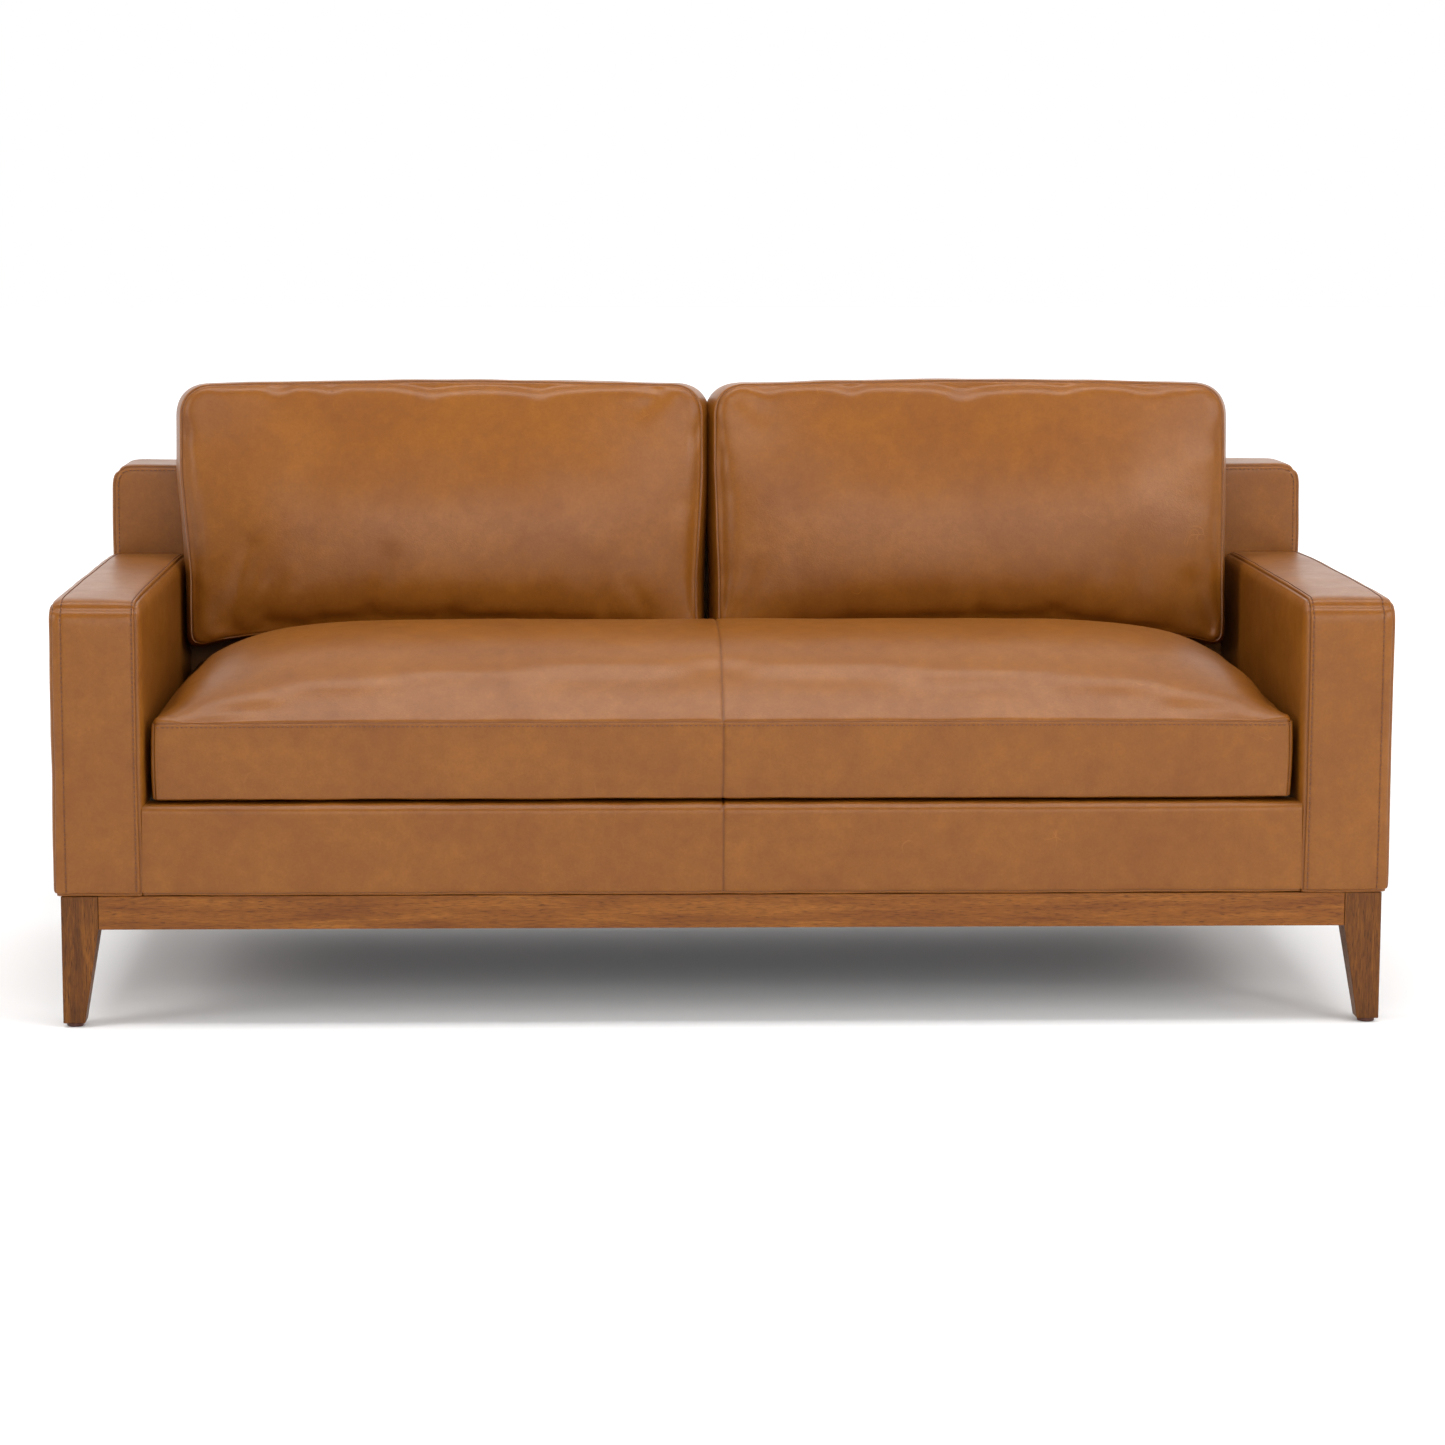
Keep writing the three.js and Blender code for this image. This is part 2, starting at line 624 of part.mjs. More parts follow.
function looseCushions() {
  const group = new THREE.Group();
  const seat = cushion('seat_cushion', seatForm, 1);
  seat.position.set(0, seatFrontSeam + seatForm.length / 2, seatSeamLevel - seatBoxing / 2);
  group.add(seat);

  const tilt = THREE.MathUtils.degToRad(backCushionTilt);
  const behind = (backCushionBoxing / 2 + backCushionRearCrown) * Math.cos(tilt);
  const lean = (backHeight - seatSeamLevel) / 2 * Math.tan(tilt) / 2;
  const middleY = backFace - backCushionRearGap - behind - lean;
  const half = backCushionHeight / 2;
  const seamY = middleY - half * Math.sin(tilt) - backCushionBoxing / 2 * Math.cos(tilt);
  const seamDrop = half * Math.cos(tilt) - backCushionBoxing / 2 * Math.sin(tilt);
  const middleZ = seatTopAt(seamY) + backCushionRest + seamDrop;
  const leftX = -insideHalf + backCushionLeftGap + backCushionWidth / 2;
  const rightX = insideHalf - backCushionRightGap - backCushionWidth / 2;
  for (const [name, x] of [['left_back_cushion', leftX], ['right_back_cushion', rightX]]) {
    const one = cushion(name, backForm, -1);
    one.position.set(x, middleY, middleZ);
    one.rotation.x = Math.PI / 2 - tilt;
    group.add(one);
  }
  return group;
}

const sofa = new THREE.Group();
sofa.add(hardwoodBase());
sofa.add(seatFrame());
sofa.add(springs());
sofa.add(deckPad());
sofa.add(apronCover());
sofa.add(arm('left', -1));
sofa.add(arm('right', 1));
sofa.add(fixedBack());
sofa.add(looseCushions());

export default sofa;
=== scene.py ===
import math

import bmesh
import bpy
from mathutils import Matrix, Vector, noise
from mathutils.bvhtree import BVHTree


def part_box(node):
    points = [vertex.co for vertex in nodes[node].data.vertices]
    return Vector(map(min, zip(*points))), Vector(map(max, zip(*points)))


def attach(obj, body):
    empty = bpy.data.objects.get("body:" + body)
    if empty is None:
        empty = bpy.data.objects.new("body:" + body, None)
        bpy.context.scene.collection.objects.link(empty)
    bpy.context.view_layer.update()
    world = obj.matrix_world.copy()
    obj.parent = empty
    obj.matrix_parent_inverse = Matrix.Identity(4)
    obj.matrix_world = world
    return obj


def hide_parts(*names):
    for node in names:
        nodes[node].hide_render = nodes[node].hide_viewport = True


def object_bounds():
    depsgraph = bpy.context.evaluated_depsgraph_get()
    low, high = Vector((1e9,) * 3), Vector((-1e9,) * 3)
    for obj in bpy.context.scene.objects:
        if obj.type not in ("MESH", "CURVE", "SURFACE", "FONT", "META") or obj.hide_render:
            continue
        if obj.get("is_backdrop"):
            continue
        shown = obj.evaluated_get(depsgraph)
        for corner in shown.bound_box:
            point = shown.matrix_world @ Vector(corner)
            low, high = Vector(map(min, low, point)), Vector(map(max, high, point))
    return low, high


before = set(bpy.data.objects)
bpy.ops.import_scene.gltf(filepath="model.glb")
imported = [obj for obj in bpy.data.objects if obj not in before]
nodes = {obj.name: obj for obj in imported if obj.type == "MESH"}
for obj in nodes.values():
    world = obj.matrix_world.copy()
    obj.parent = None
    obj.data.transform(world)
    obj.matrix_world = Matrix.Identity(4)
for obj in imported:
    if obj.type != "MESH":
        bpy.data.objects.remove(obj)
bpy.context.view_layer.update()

# ---- Studio: camera, floor and lamps ----------------------------------------------------
# The sofa stands on a white sweep in an evenly lit white room. The camera looks down on it
# a little from almost straight in front, through a long lens.

camera_data = bpy.data.cameras.new("camera")
camera_data.sensor_width = 36
camera_data.lens = 94.28
camera_data.shift_x = 0.05
camera = bpy.data.objects.new("camera", camera_data)
camera.location = (-0.2084, -5.8886, 1.2396)
camera.rotation_euler = (math.radians(90 - 8.221), 0, -math.radians(1.062))
bpy.context.scene.collection.objects.link(camera)
bpy.context.scene.camera = camera
bpy.context.scene.view_settings.view_transform = "Standard"

FLOOR_REACH = 30
ROOM_FILL = 0.22
BACKDROP_GLOW = 1.30
SWEEP_LIT_FROM = 1.5
SWEEP_LIT_TO = 4.5
SWEEP_GLOW = 0.6


def linear(shade):
    """An sRGB colour written as hex, as the linear colour that a shader takes."""
    parts = [int(shade[k:k + 2], 16) / 255 for k in (1, 3, 5)]
    return [p / 12.92 if p <= 0.04045 else ((p + 0.055) / 1.055) ** 2.4 for p in parts] + [1.0]


def add(tree, kind, inputs, **settings):
    """One node with its settings; an input is a value or the socket that feeds it."""
    node = tree.nodes.new(kind)
    for key, value in settings.items():
        setattr(node, key, value)
    for key, value in inputs.items():
        if isinstance(value, bpy.types.NodeSocket):
            tree.links.new(value, node.inputs[key])
        else:
            node.inputs[key].default_value = value
    return node


def new_finish(name):
    """An empty material, its node tree and its shader."""
    finish = bpy.data.materials.new(name)
    finish.use_nodes = True
    return finish, finish.node_tree, finish.node_tree.nodes["Principled BSDF"]


def finished(bm, name, finish, levels=0):
    """Closes a bmesh into a smooth shaded piece of the sofa, softened by that many levels."""
    mesh = bpy.data.meshes.new(name)
    bm.to_mesh(mesh)
    bm.free()
    mesh.polygons.foreach_set("use_smooth", [True] * len(mesh.polygons))
    mesh.materials.append(finish)
    piece = bpy.data.objects.new(name, mesh)
    bpy.context.scene.collection.objects.link(piece)
    if levels:
        soften = piece.modifiers.new("softened", "SUBSURF")
        soften.levels = levels
        soften.render_levels = levels
    return piece


# Matt white paint on the sweep: nothing but a pale even tone that takes the soft shadow.
sweep_paint, tree, shader = new_finish("matt_white_paint")
shader.inputs["Base Color"].default_value = linear("#ffffff")
shader.inputs["Roughness"].default_value = 0.9
shader.inputs["Specular IOR Level"].default_value = 0.0
# away from the sofa the sweep is lit up to an even white
away = add(tree, "ShaderNodeVectorMath", {
    0: add(tree, "ShaderNodeTexCoord", {}).outputs["Object"],
}, operation="LENGTH").outputs["Value"]
lit_up = add(tree, "ShaderNodeMapRange", {
    "Value": away, "From Min": SWEEP_LIT_FROM, "From Max": SWEEP_LIT_TO, "To Max": SWEEP_GLOW,
}, interpolation_type="SMOOTHSTEP").outputs["Result"]
shader.inputs["Emission Color"].default_value = linear("#ffffff")
tree.links.new(lit_up, shader.inputs["Emission Strength"])
bm = bmesh.new()
bmesh.ops.create_grid(bm, x_segments=2, y_segments=2, size=FLOOR_REACH)
floor = finished(bm, "floor", sweep_paint)
floor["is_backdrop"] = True

room = bpy.data.worlds.new("white_room")
room.use_nodes = True
tree = room.node_tree
seen = add(tree, "ShaderNodeLightPath", {}).outputs["Is Camera Ray"]
way = add(tree, "ShaderNodeTexCoord", {}).outputs["Generated"]
behind = add(tree, "ShaderNodeSeparateXYZ", {0: way}).outputs["Y"]
lit = add(tree, "ShaderNodeMapRange", {
    "Value": behind, "From Min": -0.1, "From Max": 0.6, "To Min": ROOM_FILL, "To Max": BACKDROP_GLOW,
}, interpolation_type="SMOOTHSTEP").outputs["Result"]
glow = add(tree, "ShaderNodeMix", {"Factor": seen, "A": lit, "B": 1.0}, data_type="FLOAT")
tree.nodes["Background"].inputs["Color"].default_value = (1, 1, 1, 1)
tree.links.new(glow.outputs["Result"], tree.nodes["Background"].inputs["Strength"])
bpy.context.scene.world = room


def soft_lamp(name, place, aim, size, power):
    """A large soft box, aimed at a point."""
    data = bpy.data.lights.new(name, "AREA")
    data.shape = "RECTANGLE"
    data.size, data.size_y = size
    data.energy = power
    lamp = bpy.data.objects.new(name, data)
    lamp.location = place
    lamp.rotation_euler = (Vector(aim) - Vector(place)).to_track_quat("-Z", "Y").to_euler()
    bpy.context.scene.collection.objects.link(lamp)


soft_lamp("front_box", (0.2, -6.6, 2.5), (0.0, 0.0, 0.6), (6.0, 2.2), 174)
soft_lamp("front_right_box", (3.2, -3.6, 2.4), (0.3, 0.0, 0.7), (1.2, 1.4), 52)
soft_lamp("left_side_box", (-4.2, -2.0, 2.2), (-0.2, 0.1, 0.7), (1.6, 1.6), 50)
soft_lamp("right_side_box", (4.2, -2.0, 2.2), (0.2, 0.1, 0.7), (1.6, 1.6), 40)
soft_lamp("top_box", (0.0, -0.6, 3.2), (0.0, 0.0, 0.5), (4.5, 1.0), 86)

# ---- Hardwood base ----------------------------------------------------------------------
# Four tapered legs with two rails each let into them: open-pored hardwood, planed, sanded
# with eased edges, stained brown and oiled. The grain runs along each member.

EASED_EDGE = 0.0012
GRAIN_TURNS = {
    "x": (0, 0, 0),
    "y": (0, 0, math.pi / 2),
    "z": (0, math.pi / 2, 0),
}


def stained_hardwood(name, grain, seed, tones):
    """Oiled and stained hardwood: brown bands of growth with short dark pores along the grain."""
    finish, tree, shader = new_finish(name)
    spot = add(tree, "ShaderNodeTexCoord", {}).outputs["Object"]
    along = add(tree, "ShaderNodeMapping", {
        "Vector": spot,
        "Location": (seed, seed * 0.7, seed * 1.3),
        "Rotation": GRAIN_TURNS[grain],
    }).outputs["Vector"]
    # bands about 12 mm across and a quarter of a metre long
    bands = add(tree, "ShaderNodeMapping", {"Vector": along, "Scale": (4, 60, 60)}).outputs["Vector"]
    band = add(tree, "ShaderNodeTexNoise", {
        "Vector": bands, "Scale": 1.0, "Detail": 4.0, "Roughness": 0.6, "Distortion": 0.5,
    }).outputs["Fac"]
    # fibres about 2 mm across, drawn a little coarser than real ones so that they show
    fibres = add(tree, "ShaderNodeMapping", {"Vector": along, "Scale": (40, 420, 420)}).outputs["Vector"]
    fibre = add(tree, "ShaderNodeTexNoise", {
        "Vector": fibres, "Scale": 1.0, "Detail": 3.0, "Roughness": 0.65,
    }).outputs["Fac"]
    pores = add(tree, "ShaderNodeMapping", {"Vector": along, "Scale": (70, 1200, 1200)}).outputs["Vector"]
    pore = add(tree, "ShaderNodeTexNoise", {
        "Vector": pores, "Scale": 1.0, "Detail": 1.0,
    }).outputs["Fac"]
    pore = add(tree, "ShaderNodeMapRange", {
        "Value": pore, "From Min": 0.55, "From Max": 0.74,
    }).outputs["Result"]
    mixed = add(tree, "ShaderNodeMath", {0: band, 1: 0.62}, operation="MULTIPLY").outputs[0]
    fine = add(
        tree, "ShaderNodeMath", {0: fibre, 1: 0.38, 2: mixed}, operation="MULTIPLY_ADD").outputs[0]
    tone = add(tree, "ShaderNodeValToRGB", {"Fac": fine})
    tone.color_ramp.elements[0].position = 0.34
    tone.color_ramp.elements[0].color = linear(tones[0])
    tone.color_ramp.elements[1].position = 0.66
    tone.color_ramp.elements[1].color = linear(tones[2])
    middle = tone.color_ramp.elements.new(0.5)
    middle.color = linear(tones[1])
    colour = add(tree, "ShaderNodeMix", {
        "Factor": pore, "A": tone.outputs["Color"], "B": linear(tones[3]),
    }, data_type="RGBA")
    tree.links.new(colour.outputs["Result"], shader.inputs["Base Color"])
    rough = add(tree, "ShaderNodeMapRange", {
        "Value": fine, "To Min": 0.5, "To Max": 0.36,
    }).outputs["Result"]
    tree.links.new(rough, shader.inputs["Roughness"])
    shader.inputs["Specular IOR Level"].default_value = 0.22
    dents = add(tree, "ShaderNodeMath", {0: fibre, 1: pore}, operation="SUBTRACT").outputs[0]
    bump = add(tree, "ShaderNodeBump", {"Height": dents, "Strength": 0.35, "Distance": 0.0004})
    tree.links.new(bump.outputs["Normal"], shader.inputs["Normal"])
    return finish


def eased_copy(node, finish, edge):
    """A CAD member with its sharp edges taken off."""
    bm = bmesh.new()
    bm.from_mesh(nodes[node].data)
    bmesh.ops.remove_doubles(bm, verts=bm.verts, dist=1e-5)
    bmesh.ops.dissolve_limit(
        bm, angle_limit=math.radians(1), verts=bm.verts, edges=bm.edges)
    sharp = [e for e in bm.edges if e.calc_face_angle(0) > math.radians(25)]
    bmesh.ops.bevel(
        bm, geom=sharp, offset=edge, segments=2, profile=0.5, affect="EDGES", material=-1)
    piece = finished(bm, node + "_piece", finish)
    piece.data.polygons.foreach_set("use_smooth", [False] * len(piece.data.polygons))
    return piece


RAIL_TONES = ("#653610", "#7c4815", "#935b20", "#4a270a")
LEG_TONES = ("#4b2707", "#62370b", "#7e4b14", "#381d06")
rail_members = {
    "front_base_rail": ("x", 0.0),
    "rear_base_rail": ("x", 3.1),
    "left_base_rail": ("y", 5.2),
    "right_base_rail": ("y", 7.7),
    "front_left_leg": ("z", 11.3),
    "front_right_leg": ("z", 14.9),
    "rear_right_leg": ("z", 17.1),
    "rear_left_leg": ("z", 21.4),
}
for member, (grain, seed) in rail_members.items():
    tones = RAIL_TONES if member.endswith("rail") else LEG_TONES
    hardwood = stained_hardwood("stained_hardwood_" + member, grain, seed, tones)
    piece = eased_copy(member, hardwood, EASED_EDGE)
    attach(piece, "frame")
    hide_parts(member)

# Nail-on glides under the legs: moulded nylon, brown, with a rounded rim.
glide_nylon, tree, shader = new_finish("moulded_nylon")
spot = add(tree, "ShaderNodeTexCoord", {}).outputs["Object"]
scuff = add(tree, "ShaderNodeTexNoise", {"Vector": spot, "Scale": 400.0, "Detail": 3.0}).outputs["Fac"]
tone = add(tree, "ShaderNodeValToRGB", {"Fac": scuff})
tone.color_ramp.elements[0].color = linear("#3c1c10")
tone.color_ramp.elements[1].color = linear("#5a2d1b")
tree.links.new(tone.outputs["Color"], shader.inputs["Base Color"])
shader.inputs["Roughness"].default_value = 0.5
for corner in ("front_left", "front_right", "rear_right", "rear_left"):
    piece = eased_copy(corner + "_glide", glide_nylon, 0.0015)
    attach(piece, "frame")
    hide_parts(corner + "_glide")

# ---- Hidden frame and springs -----------------------------------------------------------
# Kiln-dried softwood posts and rails, corner blocks bolted to the legs, and sinuous steel
# springs in clips. They keep the CAD shapes and get the finish of sawn pine and of wire.

sawn_pine, tree, shader = new_finish("sawn_pine")
spot = add(tree, "ShaderNodeTexCoord", {}).outputs["Object"]
stretched = add(tree, "ShaderNodeMapping", {"Vector": spot, "Scale": (10, 60, 60)}).outputs["Vector"]
grain = add(tree, "ShaderNodeTexNoise", {
    "Vector": stretched, "Scale": 1.0, "Detail": 4.0, "Distortion": 0.6,
}).outputs["Fac"]
tone = add(tree, "ShaderNodeValToRGB", {"Fac": grain})
tone.color_ramp.elements[0].position = 0.35
tone.color_ramp.elements[0].color = linear("#b98d57")
tone.color_ramp.elements[1].position = 0.7
tone.color_ramp.elements[1].color = linear("#e0c08e")
tree.links.new(tone.outputs["Color"], shader.inputs["Base Color"])
shader.inputs["Roughness"].default_value = 0.75
bump = add(tree, "ShaderNodeBump", {"Height": grain, "Strength": 0.4, "Distance": 0.0006})
tree.links.new(bump.outputs["Normal"], shader.inputs["Normal"])

spring_wire, tree, shader = new_finish("oiled_spring_steel")
spot = add(tree, "ShaderNodeTexCoord", {}).outputs["Object"]
oil = add(tree, "ShaderNodeTexNoise", {"Vector": spot, "Scale": 120.0, "Detail": 2.0}).outputs["Fac"]
tone = add(tree, "ShaderNodeValToRGB", {"Fac": oil})
tone.color_ramp.elements[0].color = linear("#3b3a38")
tone.color_ramp.elements[1].color = linear("#6d6a66")
tree.links.new(tone.outputs["Color"], shader.inputs["Base Color"])
shader.inputs["Metallic"].default_value = 1.0
shader.inputs["Roughness"].default_value = 0.38

for name, node in nodes.items():
    if name.endswith(("seat_rail", "_post", "top_rail", "corner_block")):
        kept_finish = sawn_pine
    elif name.startswith("spring_") or name.endswith(("spring_clips", "leg_bolt")):
        kept_finish = spring_wire
    else:
        continue
    node.data.materials.clear()
    node.data.materials.append(kept_finish)

# ---- Leather covers: hide, panels, seams ------------------------------------------------
# Every cover is full-grain leather, drum-dyed tan with a waxy pull-up finish, cut in panels
# that are sewn edge to edge and topstitched in matching thread. One hide finish serves all
# of them; each panel has its own number, so that its markings are its own.


def pull_up_leather(name):
    """Waxed full-grain leather: cloudy tan, a fine pebble, pale scratches, a soft gloss and painted shade
    along the sunk middle of its seams.
    """
    finish, tree, shader = new_finish(name)
    spot = add(tree, "ShaderNodeTexCoord", {}).outputs["Object"]
    panel = add(tree, "ShaderNodeAttribute", {}, attribute_name="panel").outputs["Fac"]
    own = add(tree, "ShaderNodeMath", {0: panel, 1: 3.7}, operation="MULTIPLY").outputs[0]
    # clouds of wax and dye, 60 to 150 mm across, with blotches of 20 mm and specks of 4 mm
    cloud = add(tree, "ShaderNodeTexNoise", {
        "Vector": spot, "W": own, "Scale": 9.0, "Detail": 5.0, "Roughness": 0.58, "Distortion": 0.4,
    }, noise_dimensions="4D").outputs["Fac"]
    blotch = add(tree, "ShaderNodeTexNoise", {
        "Vector": spot, "W": own, "Scale": 52.0, "Detail": 4.0, "Roughness": 0.6,
    }, noise_dimensions="4D").outputs["Fac"]
    speckle = add(tree, "ShaderNodeTexNoise", {
        "Vector": spot, "Scale": 260.0, "Detail": 2.0,
    }).outputs["Fac"]
    mottle = add(tree, "ShaderNodeMath", {0: blotch, 1: 0.34}, operation="MULTIPLY").outputs[0]
    mottle = add(
        tree, "ShaderNodeMath", {0: cloud, 1: 0.46, 2: mottle}, operation="MULTIPLY_ADD").outputs[0]
    mottle = add(
        tree, "ShaderNodeMath", {0: speckle, 1: 0.20, 2: mottle}, operation="MULTIPLY_ADD").outputs[0]
    tone = add(tree, "ShaderNodeValToRGB", {"Fac": mottle})
    tone.color_ramp.elements[0].position = 0.25
    tone.color_ramp.elements[0].color = linear("#69380b")
    tone.color_ramp.elements[1].position = 0.75
    tone.color_ramp.elements[1].color = linear("#8b5518")
    middle = tone.color_ramp.elements.new(0.5)
    middle.color = linear("#7a4711")
    # scratches and fat lines: hair-thin pale marks a few centimetres long, here and there
    bent = add(tree, "ShaderNodeTexNoise", {"Vector": spot, "W": own, "Scale": 7.0, "Detail": 2.0},
               noise_dimensions="4D").outputs["Color"]
    bent = add(tree, "ShaderNodeVectorMath", {0: bent, 1: (0.5, 0.5, 0.5)}, operation="MULTIPLY")
    bent = add(tree, "ShaderNodeVectorMath", {0: spot, 1: bent.outputs[0]}, operation="ADD")
    crack = add(tree, "ShaderNodeTexVoronoi", {
        "Vector": bent.outputs[0], "W": own, "Scale": 9.0,
    }, voronoi_dimensions="4D", feature="DISTANCE_TO_EDGE").outputs["Distance"]
    mark = add(tree, "ShaderNodeMapRange", {
        "Value": crack, "From Min": 0.0, "From Max": 0.012, "To Min": 1.0, "To Max": 0.0,
    }).outputs["Result"]
    worn = add(tree, "ShaderNodeTexNoise", {"Vector": spot, "W": own, "Scale": 16.0, "Detail": 2.0},
               noise_dimensions="4D").outputs["Fac"]
    worn = add(tree, "ShaderNodeMapRange", {
        "Value": worn, "From Min": 0.62, "From Max": 0.78, "To Max": 0.45,
    }).outputs["Result"]
    mark = add(tree, "ShaderNodeMath", {0: mark, 1: worn}, operation="MULTIPLY").outputs[0]
    colour = add(tree, "ShaderNodeMix", {
        "Factor": mark, "A": tone.outputs["Color"], "B": linear("#aa7034"),
    }, data_type="RGBA")
    # painted shade: the leather is coloured darker in the sunk middle of a seam, where shade falls
    painted_seam_shade = add(tree, "ShaderNodeAttribute", {}, attribute_name="seam").outputs["Fac"]
    painted_seam_shade = add(tree, "ShaderNodeMath", {0: painted_seam_shade, 1: 0.48}, operation="MULTIPLY").outputs[0]
    colour = add(tree, "ShaderNodeMix", {
        "Factor": painted_seam_shade, "A": colour.outputs["Result"], "B": linear("#45200c"),
    }, data_type="RGBA")
    tree.links.new(colour.outputs["Result"], shader.inputs["Base Color"])
    # the gloss varies with the wax
    rough = add(tree, "ShaderNodeMapRange", {
        "Value": mottle, "From Min": 0.3, "From Max": 0.7, "To Min": 0.41, "To Max": 0.31,
    }).outputs["Result"]
    tree.links.new(rough, shader.inputs["Roughness"])
    shader.inputs["Specular IOR Level"].default_value = 0.33
    shader.inputs["IOR"].default_value = 1.48
    # pebble of the grain, drawn 2 mm across where a real one is 1 mm, so that it shows
    pebble = add(tree, "ShaderNodeTexVoronoi", {
        "Vector": spot, "Scale": 480.0, "Randomness": 1.0,
    }, feature="SMOOTH_F1").outputs["Distance"]
    relief = add(
        tree, "ShaderNodeMath", {0: blotch, 1: 2.5, 2: pebble}, operation="MULTIPLY_ADD").outputs[0]
    bump = add(tree, "ShaderNodeBump", {"Height": relief, "Strength": 0.22, "Distance": 0.0006})
    tree.links.new(bump.outputs["Normal"], shader.inputs["Normal"])
    return finish


def bonded_thread():
    """Bonded nylon thread, dyed a shade darker than the hide, with the twist of its strands."""
    finish, tree, shader = new_finish("bonded_nylon_thread")
    spot = add(tree, "ShaderNodeTexCoord", {}).outputs["Object"]
    twist = add(
        tree, "ShaderNodeTexNoise", {"Vector": spot, "Scale": 900.0, "Detail": 1.0}).outputs["Fac"]
    tone = add(tree, "ShaderNodeValToRGB", {"Fac": twist})
    tone.color_ramp.elements[0].color = linear("#4a240b")
    tone.color_ramp.elements[1].color = linear("#6f3d17")
    tree.links.new(tone.outputs["Color"], shader.inputs["Base Color"])
    shader.inputs["Roughness"].default_value = 0.55
    return finish


leather = pull_up_leather("waxed_full_grain_leather")
thread = bonded_thread()

SEAM_WIDTH = 0.0042
SEAM_DEPTH = 0.0030
STITCH_PITCH = 0.007
STITCH_LENGTH = 0.0052
THREAD_WIDTH = 0.0018
STITCHES_AT_ONCE = 40
STITCH_ROW_WIDTH = 0.0032
STITCH_ROW_DEPTH = 0.0010
STITCH_ROW_SHADE = 0.45


def spaced(low, high, step, edge, lines=()):
    """Grid places from low to high: even steps, closer ones where an edge turns, and seams."""
    turns = [edge * share for share in (0.3, 0.6, 1.0)]
    count = math.ceil((high - low - 2 * edge) / step)
    stride = (high - low - 2 * edge) / count
    places = [low + edge + stride * k for k in range(1, count)]
    places += [low + t for t in turns] + [high - t for t in turns]
    clear = [p for p in places if all(abs(p - line) > 0.003 for line in lines)]
    return sorted([low, high, *lines, *clear])


def cut_panels(places, panel_of):
    """A closed box of leather on a grid of places, its faces numbered by the panel they are in."""
    bm = bmesh.new()
    number = bm.faces.layers.int.new("panel")
    # each point's share of the painted shade in the groove of a seam
    bm.verts.layers.float.new("seam")
    for axis in range(3):
        across, along = (axis + 1) % 3, (axis + 2) % 3
        steps = len(places[across]) - 1, len(places[along]) - 1
        for end in (0, -1):
            made = bmesh.ops.create_grid(bm, x_segments=steps[0], y_segments=steps[1], size=1)
            for vert in made["verts"]:
                at = Vector()
                at[axis] = places[axis][end]
                at[across] = places[across][round((vert.co.x + 1) / 2 * steps[0])]
                at[along] = places[along][round((vert.co.y + 1) / 2 * steps[1])]
                vert.co = at
            for face in {f for vert in made["verts"] for f in vert.link_faces}:
                face[number] = panel_of(axis, end, face.calc_center_median())
    bmesh.ops.remove_doubles(bm, verts=bm.verts, dist=1e-5)
    bmesh.ops.recalc_face_normals(bm, faces=bm.faces)
    bm.verts.ensure_lookup_table()
    return bm


def seam_edges(bm):
    """The edges where one panel meets another."""
    number = bm.faces.layers.int["panel"]
    return [e for e in bm.edges if len({f[number] for f in e.link_faces}) > 1]


def turned(p, low, high, radius, axes=(0, 1, 2)):
    """A point of a sharp box, moved to where the box with rounded edges has it."""
    core = p.copy()
    for k in axes:
        core[k] = min(max(p[k], low[k] + radius), high[k] - radius)
    out = p - core
    reach = max(abs(out[k]) for k in axes)
    return core + out * (reach / out.length) if out.length > 1e-9 else p.copy()


def puffed(p, low, high, crown, power=4):
    """How far the padding under a flat panel pushes a point of it out, as a vector."""
    out = Vector()
    for k in range(3):
        side = -1 if abs(p[k] - low[k]) < 1e-6 else 1 if abs(p[k] - high[k]) < 1e-6 else 0
        if side:
            fullness = 1.0
            for other in range(3):
                if other != k:
                    share = (2 * p[other] - low[other] - high[other]) / (high[other] - low[other])
                    fullness *= 1 - abs(share) ** power
            out[k] = side * crown[k] * fullness
    return out


def sew(bm, seams, width=SEAM_WIDTH, depth=SEAM_DEPTH, shade=1.0):
    """Opens each seam into two turned edges with the stitched groove between them, and gives the groove
    the given amount of painted shade.
    """
    bm.normal_update()
    made = bmesh.ops.bevel(
        bm, geom=seams, offset=width / 2, segments=2, profile=0.5, affect="EDGES", material=-1)
    strip = set(made["faces"])
    painted_seam_shade = bm.verts.layers.float["seam"]
    bm.normal_update()
    for vert in made["verts"]:
        if all(face in strip for face in vert.link_faces):
            vert.co -= vert.normal * depth
            # how much painted shade the leather shows at this point of the groove
            vert[painted_seam_shade] = shade


def row_edges(bm, flat, on_line):
    """The edges along one row of topstitching, which lie in no seam."""
    return [
        e for e in bm.edges
        if all(v.index < len(flat) and on_line(flat[v.index]) for v in e.verts)
    ]


def line_of(flat, bm, on_line, order):
    """The points of one seam, from end to end."""
    found = [(order(flat[v.index]), v.co.copy()) for v in bm.verts if on_line(flat[v.index])]
    return [co for key, co in sorted(found, key=lambda pair: pair[0])]


